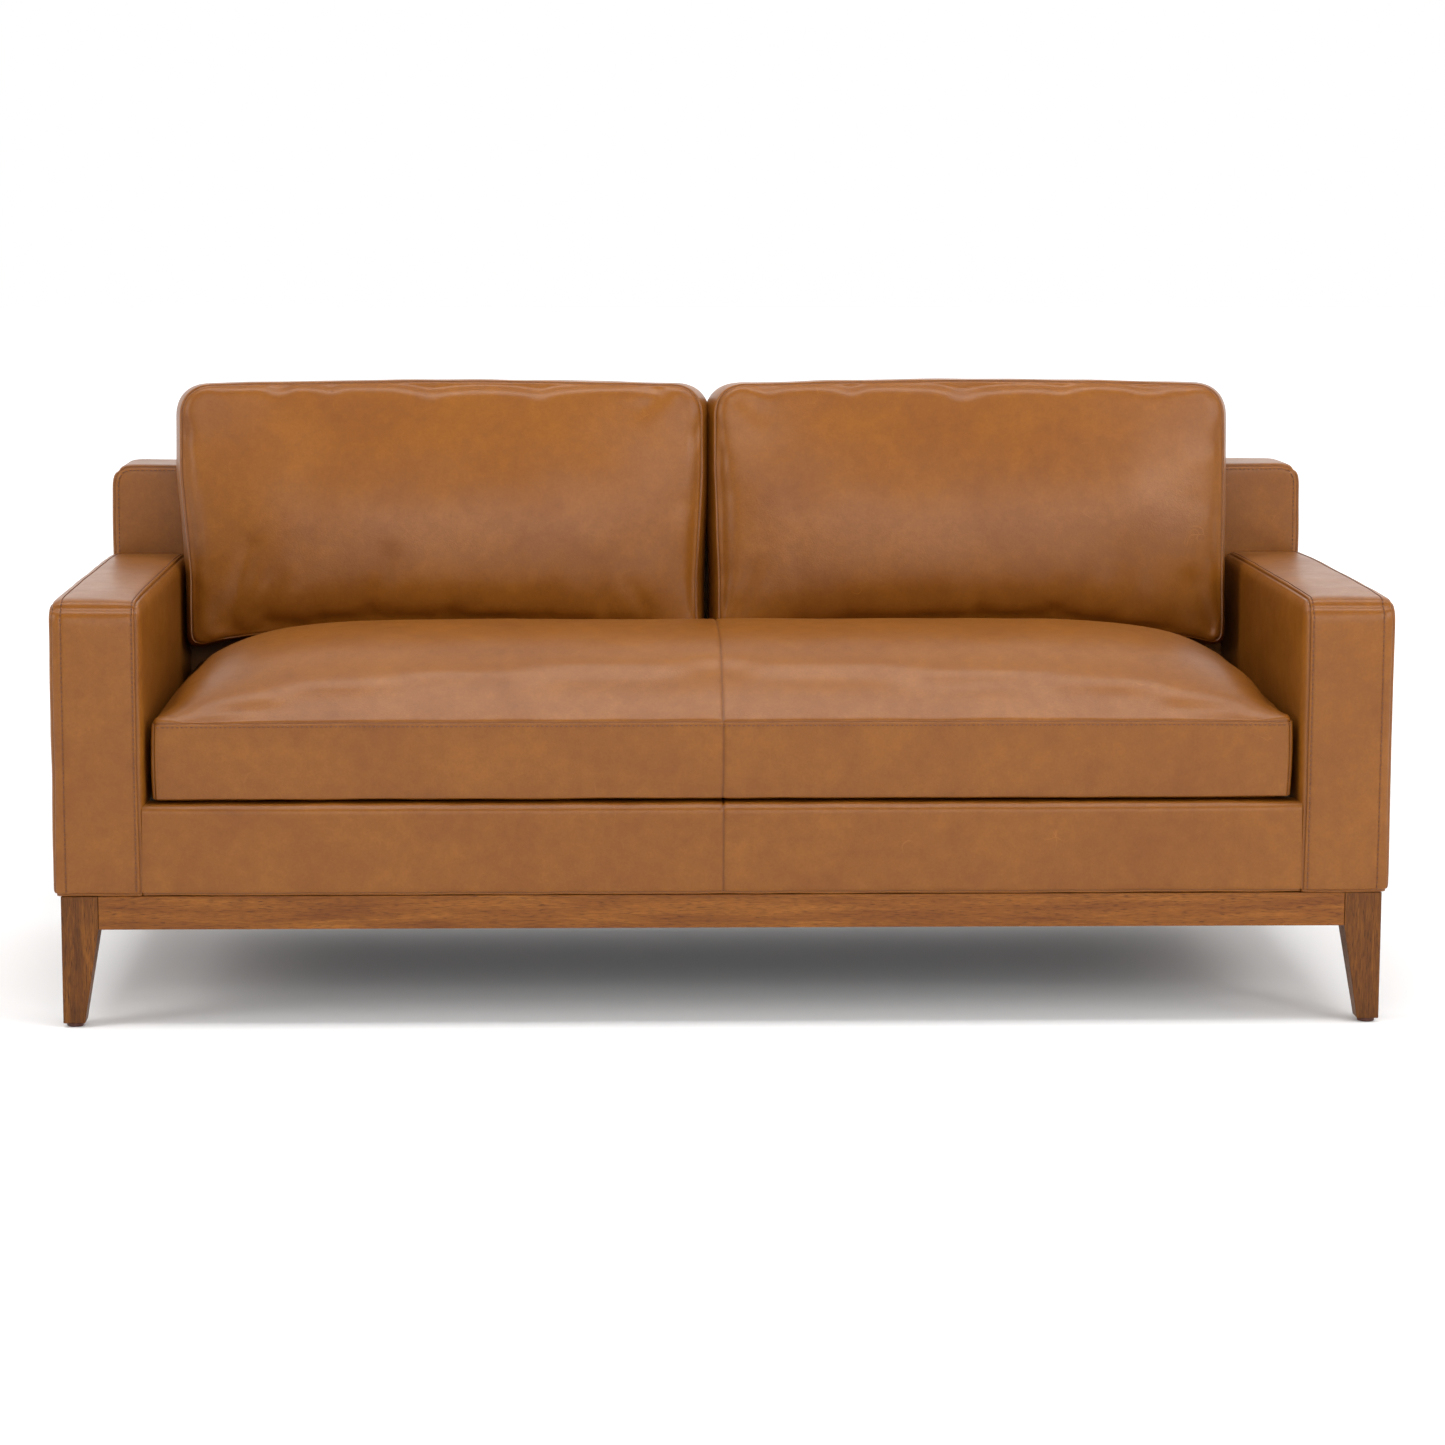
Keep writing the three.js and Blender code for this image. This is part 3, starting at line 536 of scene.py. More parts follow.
def topstitch(name, cover, rows, body):
    """Rows of topstitches, each at a set distance from a seam on the side that it is drawn to."""
    surface = BVHTree.FromObject(cover, bpy.context.evaluated_depsgraph_get())
    bm = bmesh.new()
    batch = bmesh.new()
    length = bpy.data.meshes.new("sewn_length")
    waiting = 0
    for line, side_way, inset in rows:
        travelled, next_at = 0.0, STITCH_PITCH
        for start, end in zip(line, line[1:]):
            step = (end - start).length
            while step > 0 and next_at <= travelled + step:
                seam_point = start.lerp(end, (next_at - travelled) / step)
                way = (end - start).normalized()
                aside = (side_way - way * side_way.dot(way)).normalized()
                point, normal, _, _ = surface.find_nearest(seam_point + aside * inset)
                way = (way - normal * way.dot(normal)).normalized()
                turn = Matrix((way, normal.cross(way), normal)).transposed().to_4x4()
                size = Matrix.Diagonal((STITCH_LENGTH / 2, THREAD_WIDTH / 2, THREAD_WIDTH / 2, 1))
                bmesh.ops.create_uvsphere(
                    batch, u_segments=6, v_segments=5, radius=1,
                    matrix=Matrix.Translation(point + normal * THREAD_WIDTH * 0.2) @ turn @ size)
                next_at += STITCH_PITCH
                waiting += 1
                if waiting == STITCHES_AT_ONCE:
                    batch.to_mesh(length)
                    bm.from_mesh(length)
                    batch.clear()
                    waiting = 0
            travelled += step
    batch.to_mesh(length)
    bm.from_mesh(length)
    batch.free()
    bpy.data.meshes.remove(length)
    piece = finished(bm, name, thread)
    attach(piece, body)
    return piece


def cover_piece(bm, name, node, body):
    """A sewn cover as a finished piece that stands for its CAD solid."""
    piece = finished(bm, name, leather, levels=1)
    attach(piece, body)
    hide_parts(node)
    return piece


def ruffle(bm, amount, length, seed):
    """Gives the leather its small unevenness, as hide has when it is pulled over padding."""
    bm.normal_update()
    moves = [
        v.normal * amount * noise.noise(v.co / length + Vector((seed, seed * 0.37, seed * 1.7)))
        for v in bm.verts
    ]
    for vert, move in zip(bm.verts, moves):
        vert.co += move

# ---- Arms -------------------------------------------------------------------------------
# A softwood frame padded with thin foam. One band of leather runs up the front and back over
# the top without a seam at the fold; the inner and outer side panels are sewn to it.

ARM_EDGE = 0.016
ARM_FOOT_EDGE = 0.009
ARM_FOLD = 0.030
ARM_INNER_SEAM = 0.006
ARM_CROWN = (0.0024, 0.0034, 0.006)
ARM_STITCH_INSET = 0.0072
ARM_OUTER_ROW = 0.0195
FRONT_SINK = 0.0015

for side, sign in (("left", -1), ("right", 1)):
    low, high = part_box(side + "_arm_cover")
    inner = high.x if sign < 0 else low.x
    seam_x = inner + sign * ARM_INNER_SEAM
    outer_x = low.x if sign < 0 else high.x

    def arm_panel(axis, end, middle):
        """The panel that a face of the arm belongs to: outer side, inner side, band or underside."""
        if axis == 0:
            return 2 if (end == 0) == (sign < 0) else 3
        on_band = (middle.x - seam_x) * sign > 0
        if axis == 2 and end == 0:
            return 5
        if axis == 1 and end == -1:
            return 6
        return 4 if on_band else 3

    inner_row_x = seam_x + sign * ARM_STITCH_INSET
    outer_row_x = outer_x - sign * ARM_OUTER_ROW
    places = (
        spaced(low.x, high.x, step=0.012, edge=ARM_EDGE, lines=(seam_x, inner_row_x, outer_row_x)),
        spaced(low.y, high.y, step=0.013, edge=ARM_FOLD),
        spaced(low.z, high.z, step=0.013, edge=ARM_FOLD),
    )
    bm = cut_panels(places, arm_panel)
    flat = [v.co.copy() for v in bm.verts]
    for vert, p in zip(bm.verts, flat):
        rise = min(max((p.z - low.z - 0.03) / 0.10, 0), 1)
        edge = ARM_FOOT_EDGE + (ARM_EDGE - ARM_FOOT_EDGE) * rise
        place = turned(p, low, high, edge) + puffed(p, low, high, ARM_CROWN)
        if p.y < (low.y + high.y) / 2 and p.z > (low.z + high.z) / 2:
            place = turned(place, low, high, ARM_FOLD, (1, 2))
        vert.co = place
    ruffle(bm, amount=0.0011, length=0.07, seed=3.0 + sign)

    def on_row(x):
        """Picks the points of one row of stitches, up the front and back over the top."""
        return lambda p: abs(p.x - x) < 1e-5 and (p.y < low.y + 1e-5 or p.z > high.z - 1e-5)

    rows = []
    for x in (inner_row_x, outer_row_x):
        rows.append((line_of(flat, bm, on_row(x), lambda p: p.z + p.y), Vector((sign, 0, 0)), 0.0))
    stitched = [e for x in (inner_row_x, outer_row_x) for e in row_edges(bm, flat, on_row(x))]
    sew(bm, stitched, STITCH_ROW_WIDTH, STITCH_ROW_DEPTH, STITCH_ROW_SHADE)
    sew(bm, seam_edges(bm))
    cover = cover_piece(bm, side + "_arm_leather", side + "_arm_cover", "frame")
    topstitch(side + "_arm_stitching", cover, rows, "frame")

# ---- Apron ------------------------------------------------------------------------------
# The padded front of the seat frame, under the seat cushion. Its leather is rolled over the
# top edge and joined by a seam in the middle; its ends are sewn to the arms' front panels.

APRON_REACH = 0.0062
APRON_CROWN = (0.0, 0.0016, 0.0008)
APRON_EDGE = 0.013
low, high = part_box("apron_cover")
low = Vector((low.x - APRON_REACH, low.y - FRONT_SINK, low.z))
high = Vector((high.x + APRON_REACH, high.y, high.z))


def apron_panel(axis, end, middle):
    """The panel that a face of the apron belongs to: its left or right half, an end or the rest."""
    if axis == 0:
        return 3
    if axis == 1 and end == -1 or axis == 2 and end == 0:
        return 4
    return 1 if middle.x < 0 else 2


places = (
    spaced(low.x, high.x, step=0.014, edge=0.006, lines=(0.0,)),
    spaced(low.y, high.y, step=0.010, edge=APRON_EDGE),
    spaced(low.z, high.z, step=0.012, edge=APRON_EDGE),
)
bm = cut_panels(places, apron_panel)
flat = [v.co.copy() for v in bm.verts]
for vert, p in zip(bm.verts, flat):
    vert.co = turned(p, low, high, APRON_EDGE, (1, 2)) + puffed(p, low, high, APRON_CROWN, 8)
ruffle(bm, amount=0.0010, length=0.06, seed=9.0)
sew(bm, seam_edges(bm))
cover_piece(bm, "apron_leather", "apron_cover", "frame")

# ---- Fixed back -------------------------------------------------------------------------
# The back frame in one long boxed cover: a front and a rear panel sewn to the band that runs
# round the ends and the top, with rounded upper corners and a topstitched front panel.

BACK_EDGE = 0.012
BACK_CORNER = 0.030
BACK_CROWN = (0.003, 0.007, 0.0)
BACK_TOP_SINK = 0.003
BACK_REAR_EDGE = 0.032
low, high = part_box("back_cover")
high.z -= BACK_TOP_SINK


def back_panel(axis, end, middle):
    """The panel that a face of the back belongs to: front, rear, band or underside."""
    if axis == 1:
        return 1 if end == 0 else 2
    return 4 if axis == 2 and end == 0 else 3


places = (
    spaced(low.x, high.x, step=0.016, edge=BACK_CORNER),
    spaced(low.y, high.y, step=0.013, edge=BACK_EDGE),
    spaced(low.z, high.z, step=0.016, edge=BACK_CORNER),
)
bm = cut_panels(places, back_panel)
flat = [v.co.copy() for v in bm.verts]
for vert, p in zip(bm.verts, flat):
    place = turned(p, low, high, BACK_EDGE) + puffed(p, low, high, BACK_CROWN)
    if p.z > (low.z + high.z) / 2:
        if p.y > (low.y + high.y) / 2:
            place = turned(place, low, high, BACK_REAR_EDGE, (1, 2))
        place = turned(place, low, high, BACK_CORNER, (0, 2))
    vert.co = place
ruffle(bm, amount=0.0012, length=0.09, seed=15.0)


def on_rim(p, y):
    """Tells whether a point is on the seam round the front panel or the rear one."""
    ends = abs(p.x - low.x) < 1e-5 or abs(p.x - high.x) < 1e-5 or abs(p.z - high.z) < 1e-5
    return ends and abs(p.y - y) < 1e-5


rows = []
for y in (low.y, high.y):
    left_rim = line_of(
        flat, bm, lambda p: on_rim(p, y) and p.x < low.x + 1e-5, lambda p: p.z)
    right_rim = line_of(
        flat, bm, lambda p: on_rim(p, y) and p.x > high.x - 1e-5, lambda p: p.z)
    top_rim = line_of(
        flat, bm, lambda p: on_rim(p, y) and p.z > high.z - 1e-5, lambda p: p.x)
    rows += [
        (left_rim, Vector((1, 0, 0)), 0.008),
        (right_rim, Vector((-1, 0, 0)), 0.008),
        (top_rim, Vector((0, 0, -1)), 0.007),
    ]
sew(bm, seam_edges(bm))
back = cover_piece(bm, "back_leather", "back_cover", "frame")
topstitch("back_stitching", back, rows, "frame")

# ---- Seat deck and dust cover -----------------------------------------------------------
# Under the seat cushion a padded deck of plain woven cloth is stretched over the springs;
# under the frame a thin black dust cloth is stapled to the rails, cut away at the legs.


def woven_cloth(name, dark, light, threads_per_metre):
    """Plain weave: threads over and under each other, seen as a fine basket of two tones."""
    finish, tree, shader = new_finish(name)
    spot = add(tree, "ShaderNodeTexCoord", {}).outputs["Object"]
    # a wave texture of scale 1 has ten waves in a length of pi
    waves = threads_per_metre * math.pi / 10
    warp = add(
        tree, "ShaderNodeTexWave", {"Vector": spot, "Scale": waves}, bands_direction="X").outputs["Fac"]
    weft = add(
        tree, "ShaderNodeTexWave", {"Vector": spot, "Scale": waves}, bands_direction="Y").outputs["Fac"]
    weave = add(tree, "ShaderNodeMath", {0: warp, 1: weft}, operation="MULTIPLY").outputs[0]
    slub = add(tree, "ShaderNodeTexNoise", {"Vector": spot, "Scale": 60.0, "Detail": 4.0}).outputs["Fac"]
    mixed = add(tree, "ShaderNodeMath", {0: weave, 1: 0.6, 2: slub}, operation="MULTIPLY_ADD").outputs[0]
    tone = add(tree, "ShaderNodeValToRGB", {"Fac": mixed})
    tone.color_ramp.elements[0].position = 0.35
    tone.color_ramp.elements[0].color = linear(dark)
    tone.color_ramp.elements[1].position = 1.0
    tone.color_ramp.elements[1].color = linear(light)
    tree.links.new(tone.outputs["Color"], shader.inputs["Base Color"])
    shader.inputs["Roughness"].default_value = 0.9
    shader.inputs["Sheen Weight"].default_value = 0.15
    bump = add(tree, "ShaderNodeBump", {"Height": weave, "Strength": 0.5, "Distance": 0.0005})
    tree.links.new(bump.outputs["Normal"], shader.inputs["Normal"])
    return finish


# threads drawn 3 mm apart, where the real ones are about 0.5 mm, so that they show
deck_cloth = woven_cloth("cotton_deck_cloth", "#5a4a3a", "#8b7660", 330)
dust_cloth = woven_cloth("black_spunbond_cloth", "#0d0d0e", "#232326", 330)

low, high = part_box("deck_pad")
places = (
    spaced(low.x, high.x, step=0.04, edge=0.003),
    spaced(low.y, high.y, step=0.04, edge=0.003),
    [low.z, high.z],
)
bm = cut_panels(places, lambda axis, end, middle: 1)
for vert in bm.verts:
    if vert.co.z > (low.z + high.z) / 2:
        vert.co.z -= 0.002 * (1 + noise.noise(vert.co * 9.0))
deck = finished(bm, "seat_deck_cloth", deck_cloth, levels=1)
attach(deck, "frame")
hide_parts("deck_pad")

low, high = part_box("dust_cover")
leg_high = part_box("front_left_leg")[1]
notch_x, notch_y = leg_high.x - low.x + 0.001, leg_high.y - low.y + 0.001
DUST_SAG = 0.0006
places = (
    spaced(low.x, high.x, step=0.05, edge=0.002, lines=(low.x + notch_x, high.x - notch_x)),
    spaced(low.y, high.y, step=0.05, edge=0.002, lines=(low.y + notch_y, high.y - notch_y)),
)
bm = bmesh.new()
steps = len(places[0]) - 1, len(places[1]) - 1
made = bmesh.ops.create_grid(bm, x_segments=steps[0], y_segments=steps[1], size=1)
for vert in made["verts"]:
    x = places[0][round((vert.co.x + 1) / 2 * steps[0])]
    y = places[1][round((vert.co.y + 1) / 2 * steps[1])]
    vert.co = (x, y, high.z - DUST_SAG * (1 + noise.noise(Vector((x, y, 0)) * 8)) / 2)
corners = [
    f for f in bm.faces
    if min(f.calc_center_median().x - low.x, high.x - f.calc_center_median().x) < notch_x
    and min(f.calc_center_median().y - low.y, high.y - f.calc_center_median().y) < notch_y
]
bmesh.ops.delete(bm, geom=corners, context="FACES")
bmesh.ops.solidify(bm, geom=bm.faces[:], thickness=0.0007)
dust = finished(bm, "dust_cloth", dust_cloth)
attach(dust, "frame")
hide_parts("dust_cover")

# ---- Loose cushions: how they are filled ------------------------------------------------
# Each is a foam core in a down wrap inside a sewn leather case. The case is sewn to shape,
# then the filling presses it out, the seams hold, and the panels crown between them.

FILL_FRAMES = 20
SLIDE_SHARE = 0.35
DIMPLE = 0.0015


def filled(bm, pressure, cap):
    """Blows the sewn case up as its filling does, no further than the foam lets it."""
    mesh = bpy.data.meshes.new("case_on_its_filling")
    bm.to_mesh(mesh)
    case = bpy.data.objects.new("case_on_its_filling", mesh)
    bpy.context.scene.collection.objects.link(case)
    cloth = case.modifiers.new("filling", "CLOTH")
    cloth.settings.quality = 6
    cloth.settings.mass = 0.4
    cloth.settings.tension_stiffness = 30
    cloth.settings.compression_stiffness = 30
    cloth.settings.shear_stiffness = 10
    cloth.settings.bending_stiffness = 2.0
    cloth.settings.use_pressure = True
    cloth.settings.uniform_pressure_force = pressure
    cloth.settings.effector_weights.gravity = 0
    cloth.point_cache.frame_start = 1
    cloth.point_cache.frame_end = FILL_FRAMES
    for moment in range(1, FILL_FRAMES + 1):
        bpy.context.scene.frame_set(moment)
    shown = case.evaluated_get(bpy.context.evaluated_depsgraph_get()).to_mesh()
    bm.normal_update()
    moves = []
    for vert, after in zip(bm.verts, shown.vertices):
        move = after.co - vert.co
        out = move.dot(vert.normal)
        aside = move - vert.normal * out
        aside *= min(1, cap * SLIDE_SHARE / max(aside.length, 1e-9))
        moves.append(aside + vert.normal * min(max(out, -DIMPLE), cap))
    for vert, move in zip(bm.verts, moves):
        vert.co += move
    bpy.data.objects.remove(case)
    bpy.context.scene.frame_set(1)


# Cut polyurethane foam: cream, matt and full of open cells about a millimetre across.
foam, tree, shader = new_finish("open_cell_foam")
spot = add(tree, "ShaderNodeTexCoord", {}).outputs["Object"]
cells = add(tree, "ShaderNodeTexVoronoi", {"Vector": spot, "Scale": 700.0}).outputs["Distance"]
tone = add(tree, "ShaderNodeValToRGB", {"Fac": cells})
tone.color_ramp.elements[0].color = linear("#c9b98c")
tone.color_ramp.elements[1].color = linear("#efe4c0")
tree.links.new(tone.outputs["Color"], shader.inputs["Base Color"])
shader.inputs["Roughness"].default_value = 0.95
bump = add(tree, "ShaderNodeBump", {"Height": cells, "Strength": 0.6, "Distance": 0.0006})
tree.links.new(bump.outputs["Normal"], shader.inputs["Normal"])
CORE_SHARE = (0.96, 0.92, 0.76)
for cushion in ("seat_cushion", "left_back_cushion", "right_back_cushion"):
    low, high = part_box(cushion + "_core")
    bm = bmesh.new()
    bm.from_mesh(nodes[cushion + "_core"].data)
    bmesh.ops.remove_doubles(bm, verts=bm.verts, dist=1e-5)
    shares = CORE_SHARE if cushion.startswith("seat") else (0.95, 0.86, 0.94)
    bmesh.ops.scale(
        bm, vec=shares, verts=bm.verts, space=Matrix.Translation(-(low + high) / 2))
    core = finished(bm, cushion + "_foam", foam)
    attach(core, cushion)
    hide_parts(cushion + "_core")

# ---- Zips -------------------------------------------------------------------------------
# A long zip in the rear band of the seat cushion and in the foot of each back cushion: woven
# tape with a moulded coil of teeth, closed by a cast slider with a pull tab. The band of the
# cover lies flat under it.

ZIP_BED_WIDTH = 0.040
ZIP_TAPE_WIDTH = 0.024
ZIP_TAPE_THICKNESS = 0.0012
ZIP_UNDER_TAPE = 0.0010
ZIP_TOOTH_PITCH = 0.0030
ZIP_TOOTH = Vector((0.0010, 0.0007, 0.0026))
ZIP_TOOTH_SHIFT = 0.0009
SLIDER_BODY = Vector((0.014, 0.0040, 0.010))
SLIDER_LIFT = 0.0005
PULL_TAB = Vector((0.024, 0.0012, 0.006))

zip_tape_cloth = woven_cloth("zip_tape_cloth", "#24170f", "#3d291c", 700)

cast_zinc, tree, shader = new_finish("cast_zinc")
spot = add(tree, "ShaderNodeTexCoord", {}).outputs["Object"]
wear = add(tree, "ShaderNodeTexNoise", {"Vector": spot, "Scale": 350.0, "Detail": 3.0}).outputs["Fac"]
tone = add(tree, "ShaderNodeValToRGB", {"Fac": wear})
tone.color_ramp.elements[0].color = linear("#5b5347")
tone.color_ramp.elements[1].color = linear("#8d8270")
tree.links.new(tone.outputs["Color"], shader.inputs["Base Color"])
shader.inputs["Metallic"].default_value = 1.0
shader.inputs["Roughness"].default_value = 0.35


def flat_bed(bm, side, level, plane, half_length):
    """Lays the band of a cover flat where its zip is sewn on, on the side of Y that is given."""
    for vert in bm.verts:
        near = abs(vert.co.z - level) < ZIP_BED_WIDTH / 2 and abs(vert.co.x) < half_length + 0.02
        if near and (vert.co.y - plane) * side > -0.03:
            vert.co.y = plane


def zip_piece(bm, name, finish, body, stand):
    """Puts one part of a zip in its place on the cushion."""
    bmesh.ops.transform(bm, matrix=stand, verts=bm.verts)
    piece = finished(bm, name, finish)
    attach(piece, body)
    return piece


def zip_and_slider(cushion, face, side, stand):
    """Tape, teeth and slider, with the outer face of the tape at Y = face before it is stood up."""
    low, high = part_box(cushion + "_zip")
    half_length = (high.x - low.x) / 2
    half_width = ZIP_TAPE_WIDTH / 2
    bm = cut_panels((
        spaced(-half_length, half_length, step=0.02, edge=0.003),
        sorted([face, face - side * ZIP_TAPE_THICKNESS]),
        [-half_width, -half_width / 3, half_width / 3, half_width],
    ), lambda axis, end, middle: 1)
    tape = zip_piece(bm, cushion + "_zip_tape", zip_tape_cloth, cushion, stand)
    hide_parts(cushion + "_zip")

    bm = bmesh.new()
    reach = half_length - 0.004
    # one pair of teeth, repeated along the tape
    for k, shift in ((0, -ZIP_TOOTH_SHIFT), (1, ZIP_TOOTH_SHIFT)):
        place = Matrix.Translation((k * ZIP_TOOTH_PITCH - reach, face, shift))
        size = Matrix.Diagonal((*ZIP_TOOTH, 1))
        bmesh.ops.create_uvsphere(bm, u_segments=8, v_segments=5, radius=1, matrix=place @ size)
    teeth = zip_piece(bm, cushion + "_zip_teeth", cast_zinc, cushion, stand)
    row = teeth.modifiers.new("row_of_teeth", "ARRAY")
    row.count = int(reach / ZIP_TOOTH_PITCH)
    row.use_relative_offset = False
    row.use_constant_offset = True
    row.constant_offset_displace = (2 * ZIP_TOOTH_PITCH, 0, 0)

    low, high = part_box(cushion + "_zip_slider")
    start = (low.x + high.x) / 2 - stand.translation.x
    bm = bmesh.new()
    bridge = Vector((SLIDER_BODY.x * 0.7, SLIDER_BODY.y * 0.5, SLIDER_BODY.z * 0.3))
    # the slider's body, the bridge on it and the tab that hangs from the bridge
    for size, along, height in (
            (Vector((SLIDER_BODY.x, SLIDER_BODY.y * 0.45, SLIDER_BODY.z)), 0, SLIDER_BODY.y * 0.225),
            (bridge, 0, SLIDER_BODY.y * 0.7),
            (PULL_TAB, PULL_TAB.x * 0.55, SLIDER_BODY.y * 0.55)):
        place = Vector((start + along, face + side * (SLIDER_LIFT + height), 0))
        block = bmesh.ops.create_cube(
            bm, size=1, matrix=Matrix.Translation(place) @ Matrix.Diagonal((*size, 1)))
        rims = list({e for vert in block["verts"] for e in vert.link_edges})
        bmesh.ops.bevel(
            bm, geom=rims, offset=min(size) * 0.3, segments=3, profile=0.5, affect="EDGES", material=-1)
    slider = zip_piece(
        bm, cushion + "_zip_pull_piece", cast_zinc, cushion + "_zip_pull", stand)
    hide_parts(cushion + "_zip_slider")


# ---- Seat cushion -----------------------------------------------------------------------
# One long bench cushion with a low boxed front. Its top is plump behind the front seam and
# falls away under the back cushions. Top, front and underside are sewn from two halves.

SEAT_SWELL = 0.002
SEAT_BOXING = 0.114
SEAT_CROWN = 0.112
SEAT_PEAK = 0.45
SEAT_FRONT_BOW = 0.003
SEAT_PLAN_CORNER = 0.013
SEAT_SLACK = 0.003


def seat_fullness(share):
    """How full the seat is from its front seam, 0, to its rear seam, 1."""
    if share < SEAT_PEAK:
        return 1 - (1 - share / SEAT_PEAK) ** 3
    return 1 - ((share - SEAT_PEAK) / (1 - SEAT_PEAK)) ** 1.6


def seat_panel(axis, end, middle):
    """The panel that a face of the seat belongs to; only the end and rear bands are in one piece."""
    if axis == 0:
        return 15
    half = 0 if middle.x < 0 else 1
    if axis == 1:
        return 13 + half if end == 0 else 16
    return 11 + half if end == -1 else 17 + half


box_low, box_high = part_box("seat_cushion_cover")
low = box_low + Vector((SEAT_SWELL, SEAT_SWELL + SEAT_FRONT_BOW, 0))
high = Vector((box_high.x - SEAT_SWELL, box_high.y - SEAT_SWELL, box_low.z + SEAT_BOXING))
places = (
    spaced(low.x, high.x, step=0.017, edge=0.02, lines=(0.0,)),
    spaced(low.y, high.y, step=0.017, edge=0.02),
    spaced(low.z, high.z, step=0.016, edge=0.01),
)
bm = cut_panels(places, seat_panel)
flat = [v.co.copy() for v in bm.verts]
size = high - low
for vert, p in zip(bm.verts, flat):
    across = (2 * p.x - low.x - high.x) / size.x
    along = (2 * p.y - low.y - high.y) / size.y
    level = (2 * p.z - low.z - high.z) / size.z
    swell = SEAT_SWELL * (1 - level * level)
    place = p + Vector((across * swell, along * swell, 0))
    if p.z > high.z - 1e-6:
        crown = (1 - abs(across) ** 9) * seat_fullness((along + 1) / 2)
        place.z += (SEAT_CROWN - SEAT_SLACK) * crown
    vert.co = turned(place, low, high, SEAT_PLAN_CORNER, (0, 1))
filled(bm, pressure=4.0, cap=0.006)
ruffle(bm, amount=0.0016, length=0.09, seed=31.0)
zip_low, zip_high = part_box("seat_cushion_zip")
zip_level = (zip_low.z + zip_high.z) / 2
flat_bed(bm, 1, zip_level, zip_high.y - ZIP_UNDER_TAPE, zip_high.x)
front_top_seam = line_of(
    flat, bm, lambda p: p.y < low.y + 1e-5 and abs(p.z - high.z) < 1e-5, lambda p: p.x)
sew(bm, seam_edges(bm))
seat = cover_piece(bm, "seat_cushion_leather", "seat_cushion_cover", "seat_cushion")
topstitch("seat_cushion_stitching", seat, [
    (front_top_seam, Vector((0, 0, -1)), 0.006),
], "seat_cushion")

zip_and_slider("seat_cushion", zip_high.y, 1, Matrix.Translation((0, 0, zip_level)))

# ---- Back cushions ----------------------------------------------------------------------
# Two plump boxed cushions that lean on the back frame and stand on the seat. Their upper
# corners are cut round, the band swells past the seams and a zip closes the underside.

BACK_CUSHION_TILT = math.radians(6)
BACK_CUSHION_HEIGHT = 0.390
BACK_CUSHION_BOXING = 0.150
BACK_CUSHION_CROWN = 0.054
BACK_CUSHION_REAR_CROWN = 0.010
BACK_CUSHION_SIDE_SWELL = 0.013
BACK_CUSHION_END_SWELL = 0.008
BACK_CUSHION_CORNER = 0.046
BACK_CUSHION_FOOT_CORNER = 0.020
BACK_CUSHION_BOW = 0.008
BACK_CUSHION_BELLY = 0.26
BACK_CUSHION_DROOP = 0.026
OVERHANG = {"left": (0.014, 0.009), "right": (0.006, 0.001)}
BACK_CUSHION_SLACK = 0.006
BACK_CUSHION_BEHIND = 0.0981
BACK_ZIP_FACE = -0.2010
CREASES = {
    "left": (
        ((-0.115, -0.175), (-0.085, -0.075), 0.0080, 0.013),
        ((-0.290, -0.170), (-0.250, -0.110), 0.0075, 0.012),
        ((-0.345, -0.175), (-0.300, -0.060), 0.0090, 0.016),
        ((0.330, -0.180), (0.300, -0.120), 0.0070, 0.012),
        ((0.345, 0.180), (0.310, 0.150), 0.0055, 0.011),
    ),
    "right": (
        ((0.385, -0.175), (0.350, -0.110), 0.0085, 0.013),
        ((-0.380, -0.175), (-0.345, -0.090), 0.0075, 0.013),
        ((0.120, -0.180), (0.140, -0.120), 0.0035, 0.011),
        ((-0.365, 0.175), (-0.330, 0.140), 0.0040, 0.012),
    ),
}
GATHER_PITCH = 0.026
FOOT_GATHER = 0.0100
FOOT_GATHER_REACH = 0.045
SIDE_GATHER = 0.0055
SIDE_GATHER_REACH = 0.025


def back_cushion_fullness(along):
    """How full the cushion is from its foot, -1, to its head, 1: its belly hangs low."""
    height = along + BACK_CUSHION_BELLY * (1 - along * along)
    return 1 - height ** 2 if height > 0 else 1 - abs(height) ** 2.6


def back_cushion_panel(axis, end, middle):
    """The panel that a face of a back cushion belongs to: front, rear or band."""
    if axis == 2:
        return 21 if end == -1 else 22
    return 23


def gathers(p, low, high):
    """How far the leather of the front panel stands up in the small pleats along its seams."""
    pleat = noise.noise(Vector((p.x, p.y * 0.3, 0.0)) / GATHER_PITCH)
    foot = FOOT_GATHER * math.exp(-(p.y - low.y) / FOOT_GATHER_REACH)
    side = SIDE_GATHER * math.exp(-min(p.x - low.x, high.x - p.x) / SIDE_GATHER_REACH)
    across = noise.noise(Vector((p.x * 0.3, p.y, 3.0)) / GATHER_PITCH)
    return pleat * foot + across * side


def crease(p, start, end, depth, width):
    """How far one soft crease sinks the leather at a point of the front panel."""
    run = Vector(end) - Vector(start)
    way = p.xy - Vector(start)
    share = min(max(way.dot(run) / run.length_squared, 0), 1)
    off = (way - run * share).length / width
    return -depth * math.exp(-off * off) * (1 - 0.5 * share)


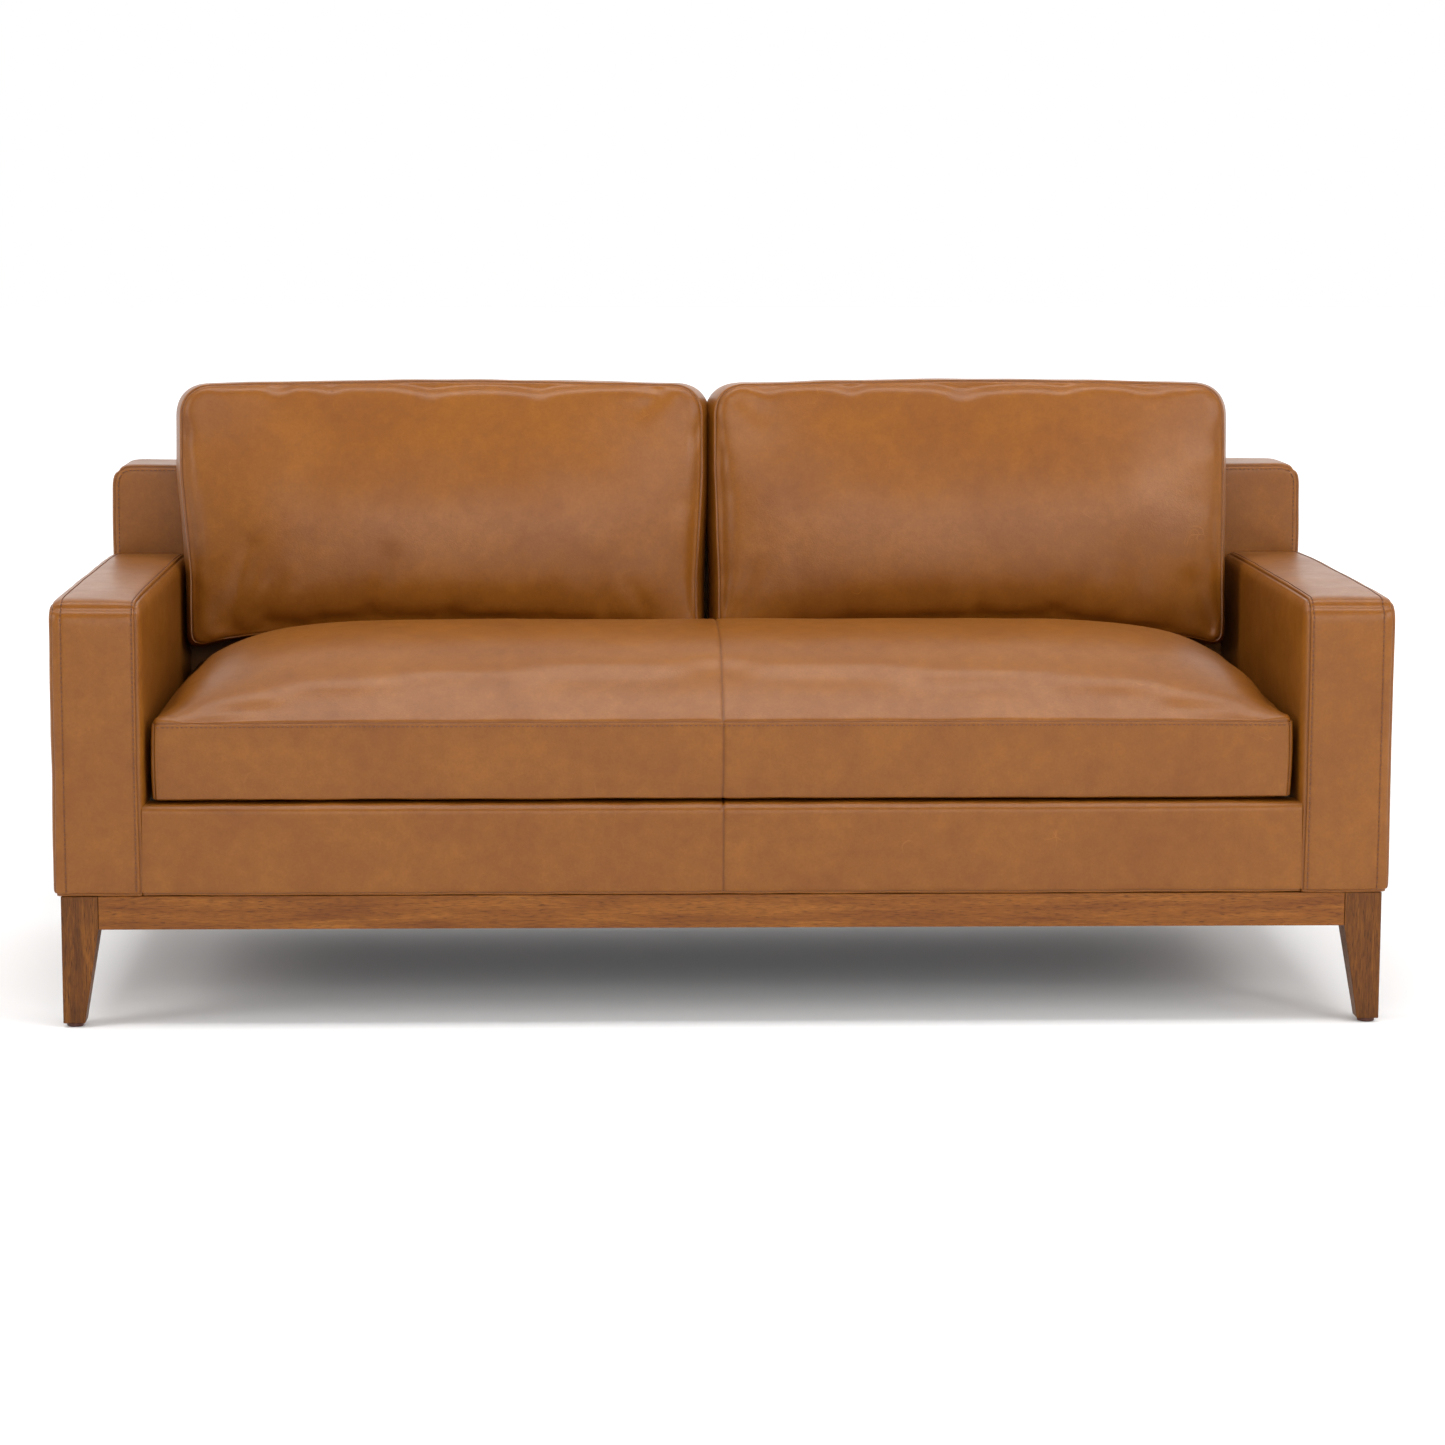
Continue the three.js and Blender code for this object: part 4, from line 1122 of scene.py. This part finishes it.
for side in ("left", "right"):
    node = side + "_back_cushion_cover"
    box_low, box_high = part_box(node)
    middle = Vector((
        (box_low.x + box_high.x) / 2,
        box_high.y - BACK_CUSHION_BEHIND,
        (box_low.z + box_high.z) / 2))
    stand = Matrix.Translation(middle) @ Matrix.Rotation(math.pi / 2 - BACK_CUSHION_TILT, 4, "X")
    half = Vector((
        (box_high.x - box_low.x) / 2 - BACK_CUSHION_SIDE_SWELL,
        BACK_CUSHION_HEIGHT / 2,
        BACK_CUSHION_BOXING / 2))
    low, high = -half, half
    places = (
        spaced(low.x, high.x, step=0.012, edge=0.02),
        spaced(low.y, high.y, step=0.012, edge=0.02),
        spaced(low.z, high.z, step=0.016, edge=0.01),
    )
    bm = cut_panels(places, back_cushion_panel)
    flat = [v.co.copy() for v in bm.verts]
    for vert, p in zip(bm.verts, flat):
        across, along, level = p.x / half.x, p.y / half.y, p.z / half.z
        fullness = (1 - abs(across) ** 2.8) * back_cushion_fullness(along)
        corner = BACK_CUSHION_CORNER if along > 0 else BACK_CUSHION_FOOT_CORNER
        place = turned(p, low, high, corner, (0, 1))
        across, along = place.x / half.x, place.y / half.y
        swell = 1 - level * level
        rise = min(max((along + 0.5) / 0.8, 0), 1)
        spread = rise * OVERHANG[side][0 if across < 0 else 1] + BACK_CUSHION_SIDE_SWELL * swell
        bow = BACK_CUSHION_BOW * (1 - across * across) if along > 0 else 0
        droop = BACK_CUSHION_DROOP * abs(across) ** 4 if along < 0 else 0
        place.x += across * spread
        place.y += along * (swell * (BACK_CUSHION_END_SWELL - 0.003) + bow + droop)
        if p.z > high.z - 1e-6:
            place.z += (BACK_CUSHION_CROWN - BACK_CUSHION_SLACK) * fullness
            place.z += gathers(p, low, high) * min(fullness * 6, 1)
            place.z += sum(crease(p, *one) for one in CREASES[side])
        if p.z < low.z + 1e-6:
            place.z -= (BACK_CUSHION_REAR_CROWN - BACK_CUSHION_SLACK) * fullness
        vert.co = place
    filled(bm, pressure=4.0, cap=0.009)
    ruffle(bm, amount=0.0014, length=0.08, seed=41.0 if side == "left" else 47.0)
    zip_low, zip_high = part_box(side + "_back_cushion_zip")
    flat_bed(bm, -1, 0.0, BACK_ZIP_FACE + ZIP_UNDER_TAPE, (zip_high.x - zip_low.x) / 2)
    sew(bm, seam_edges(bm))
    bmesh.ops.transform(bm, matrix=stand, verts=bm.verts)
    cover_piece(bm, side + "_back_cushion_leather", node, side + "_back_cushion")
    zip_and_slider(side + "_back_cushion", BACK_ZIP_FACE, -1, stand)

low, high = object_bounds()
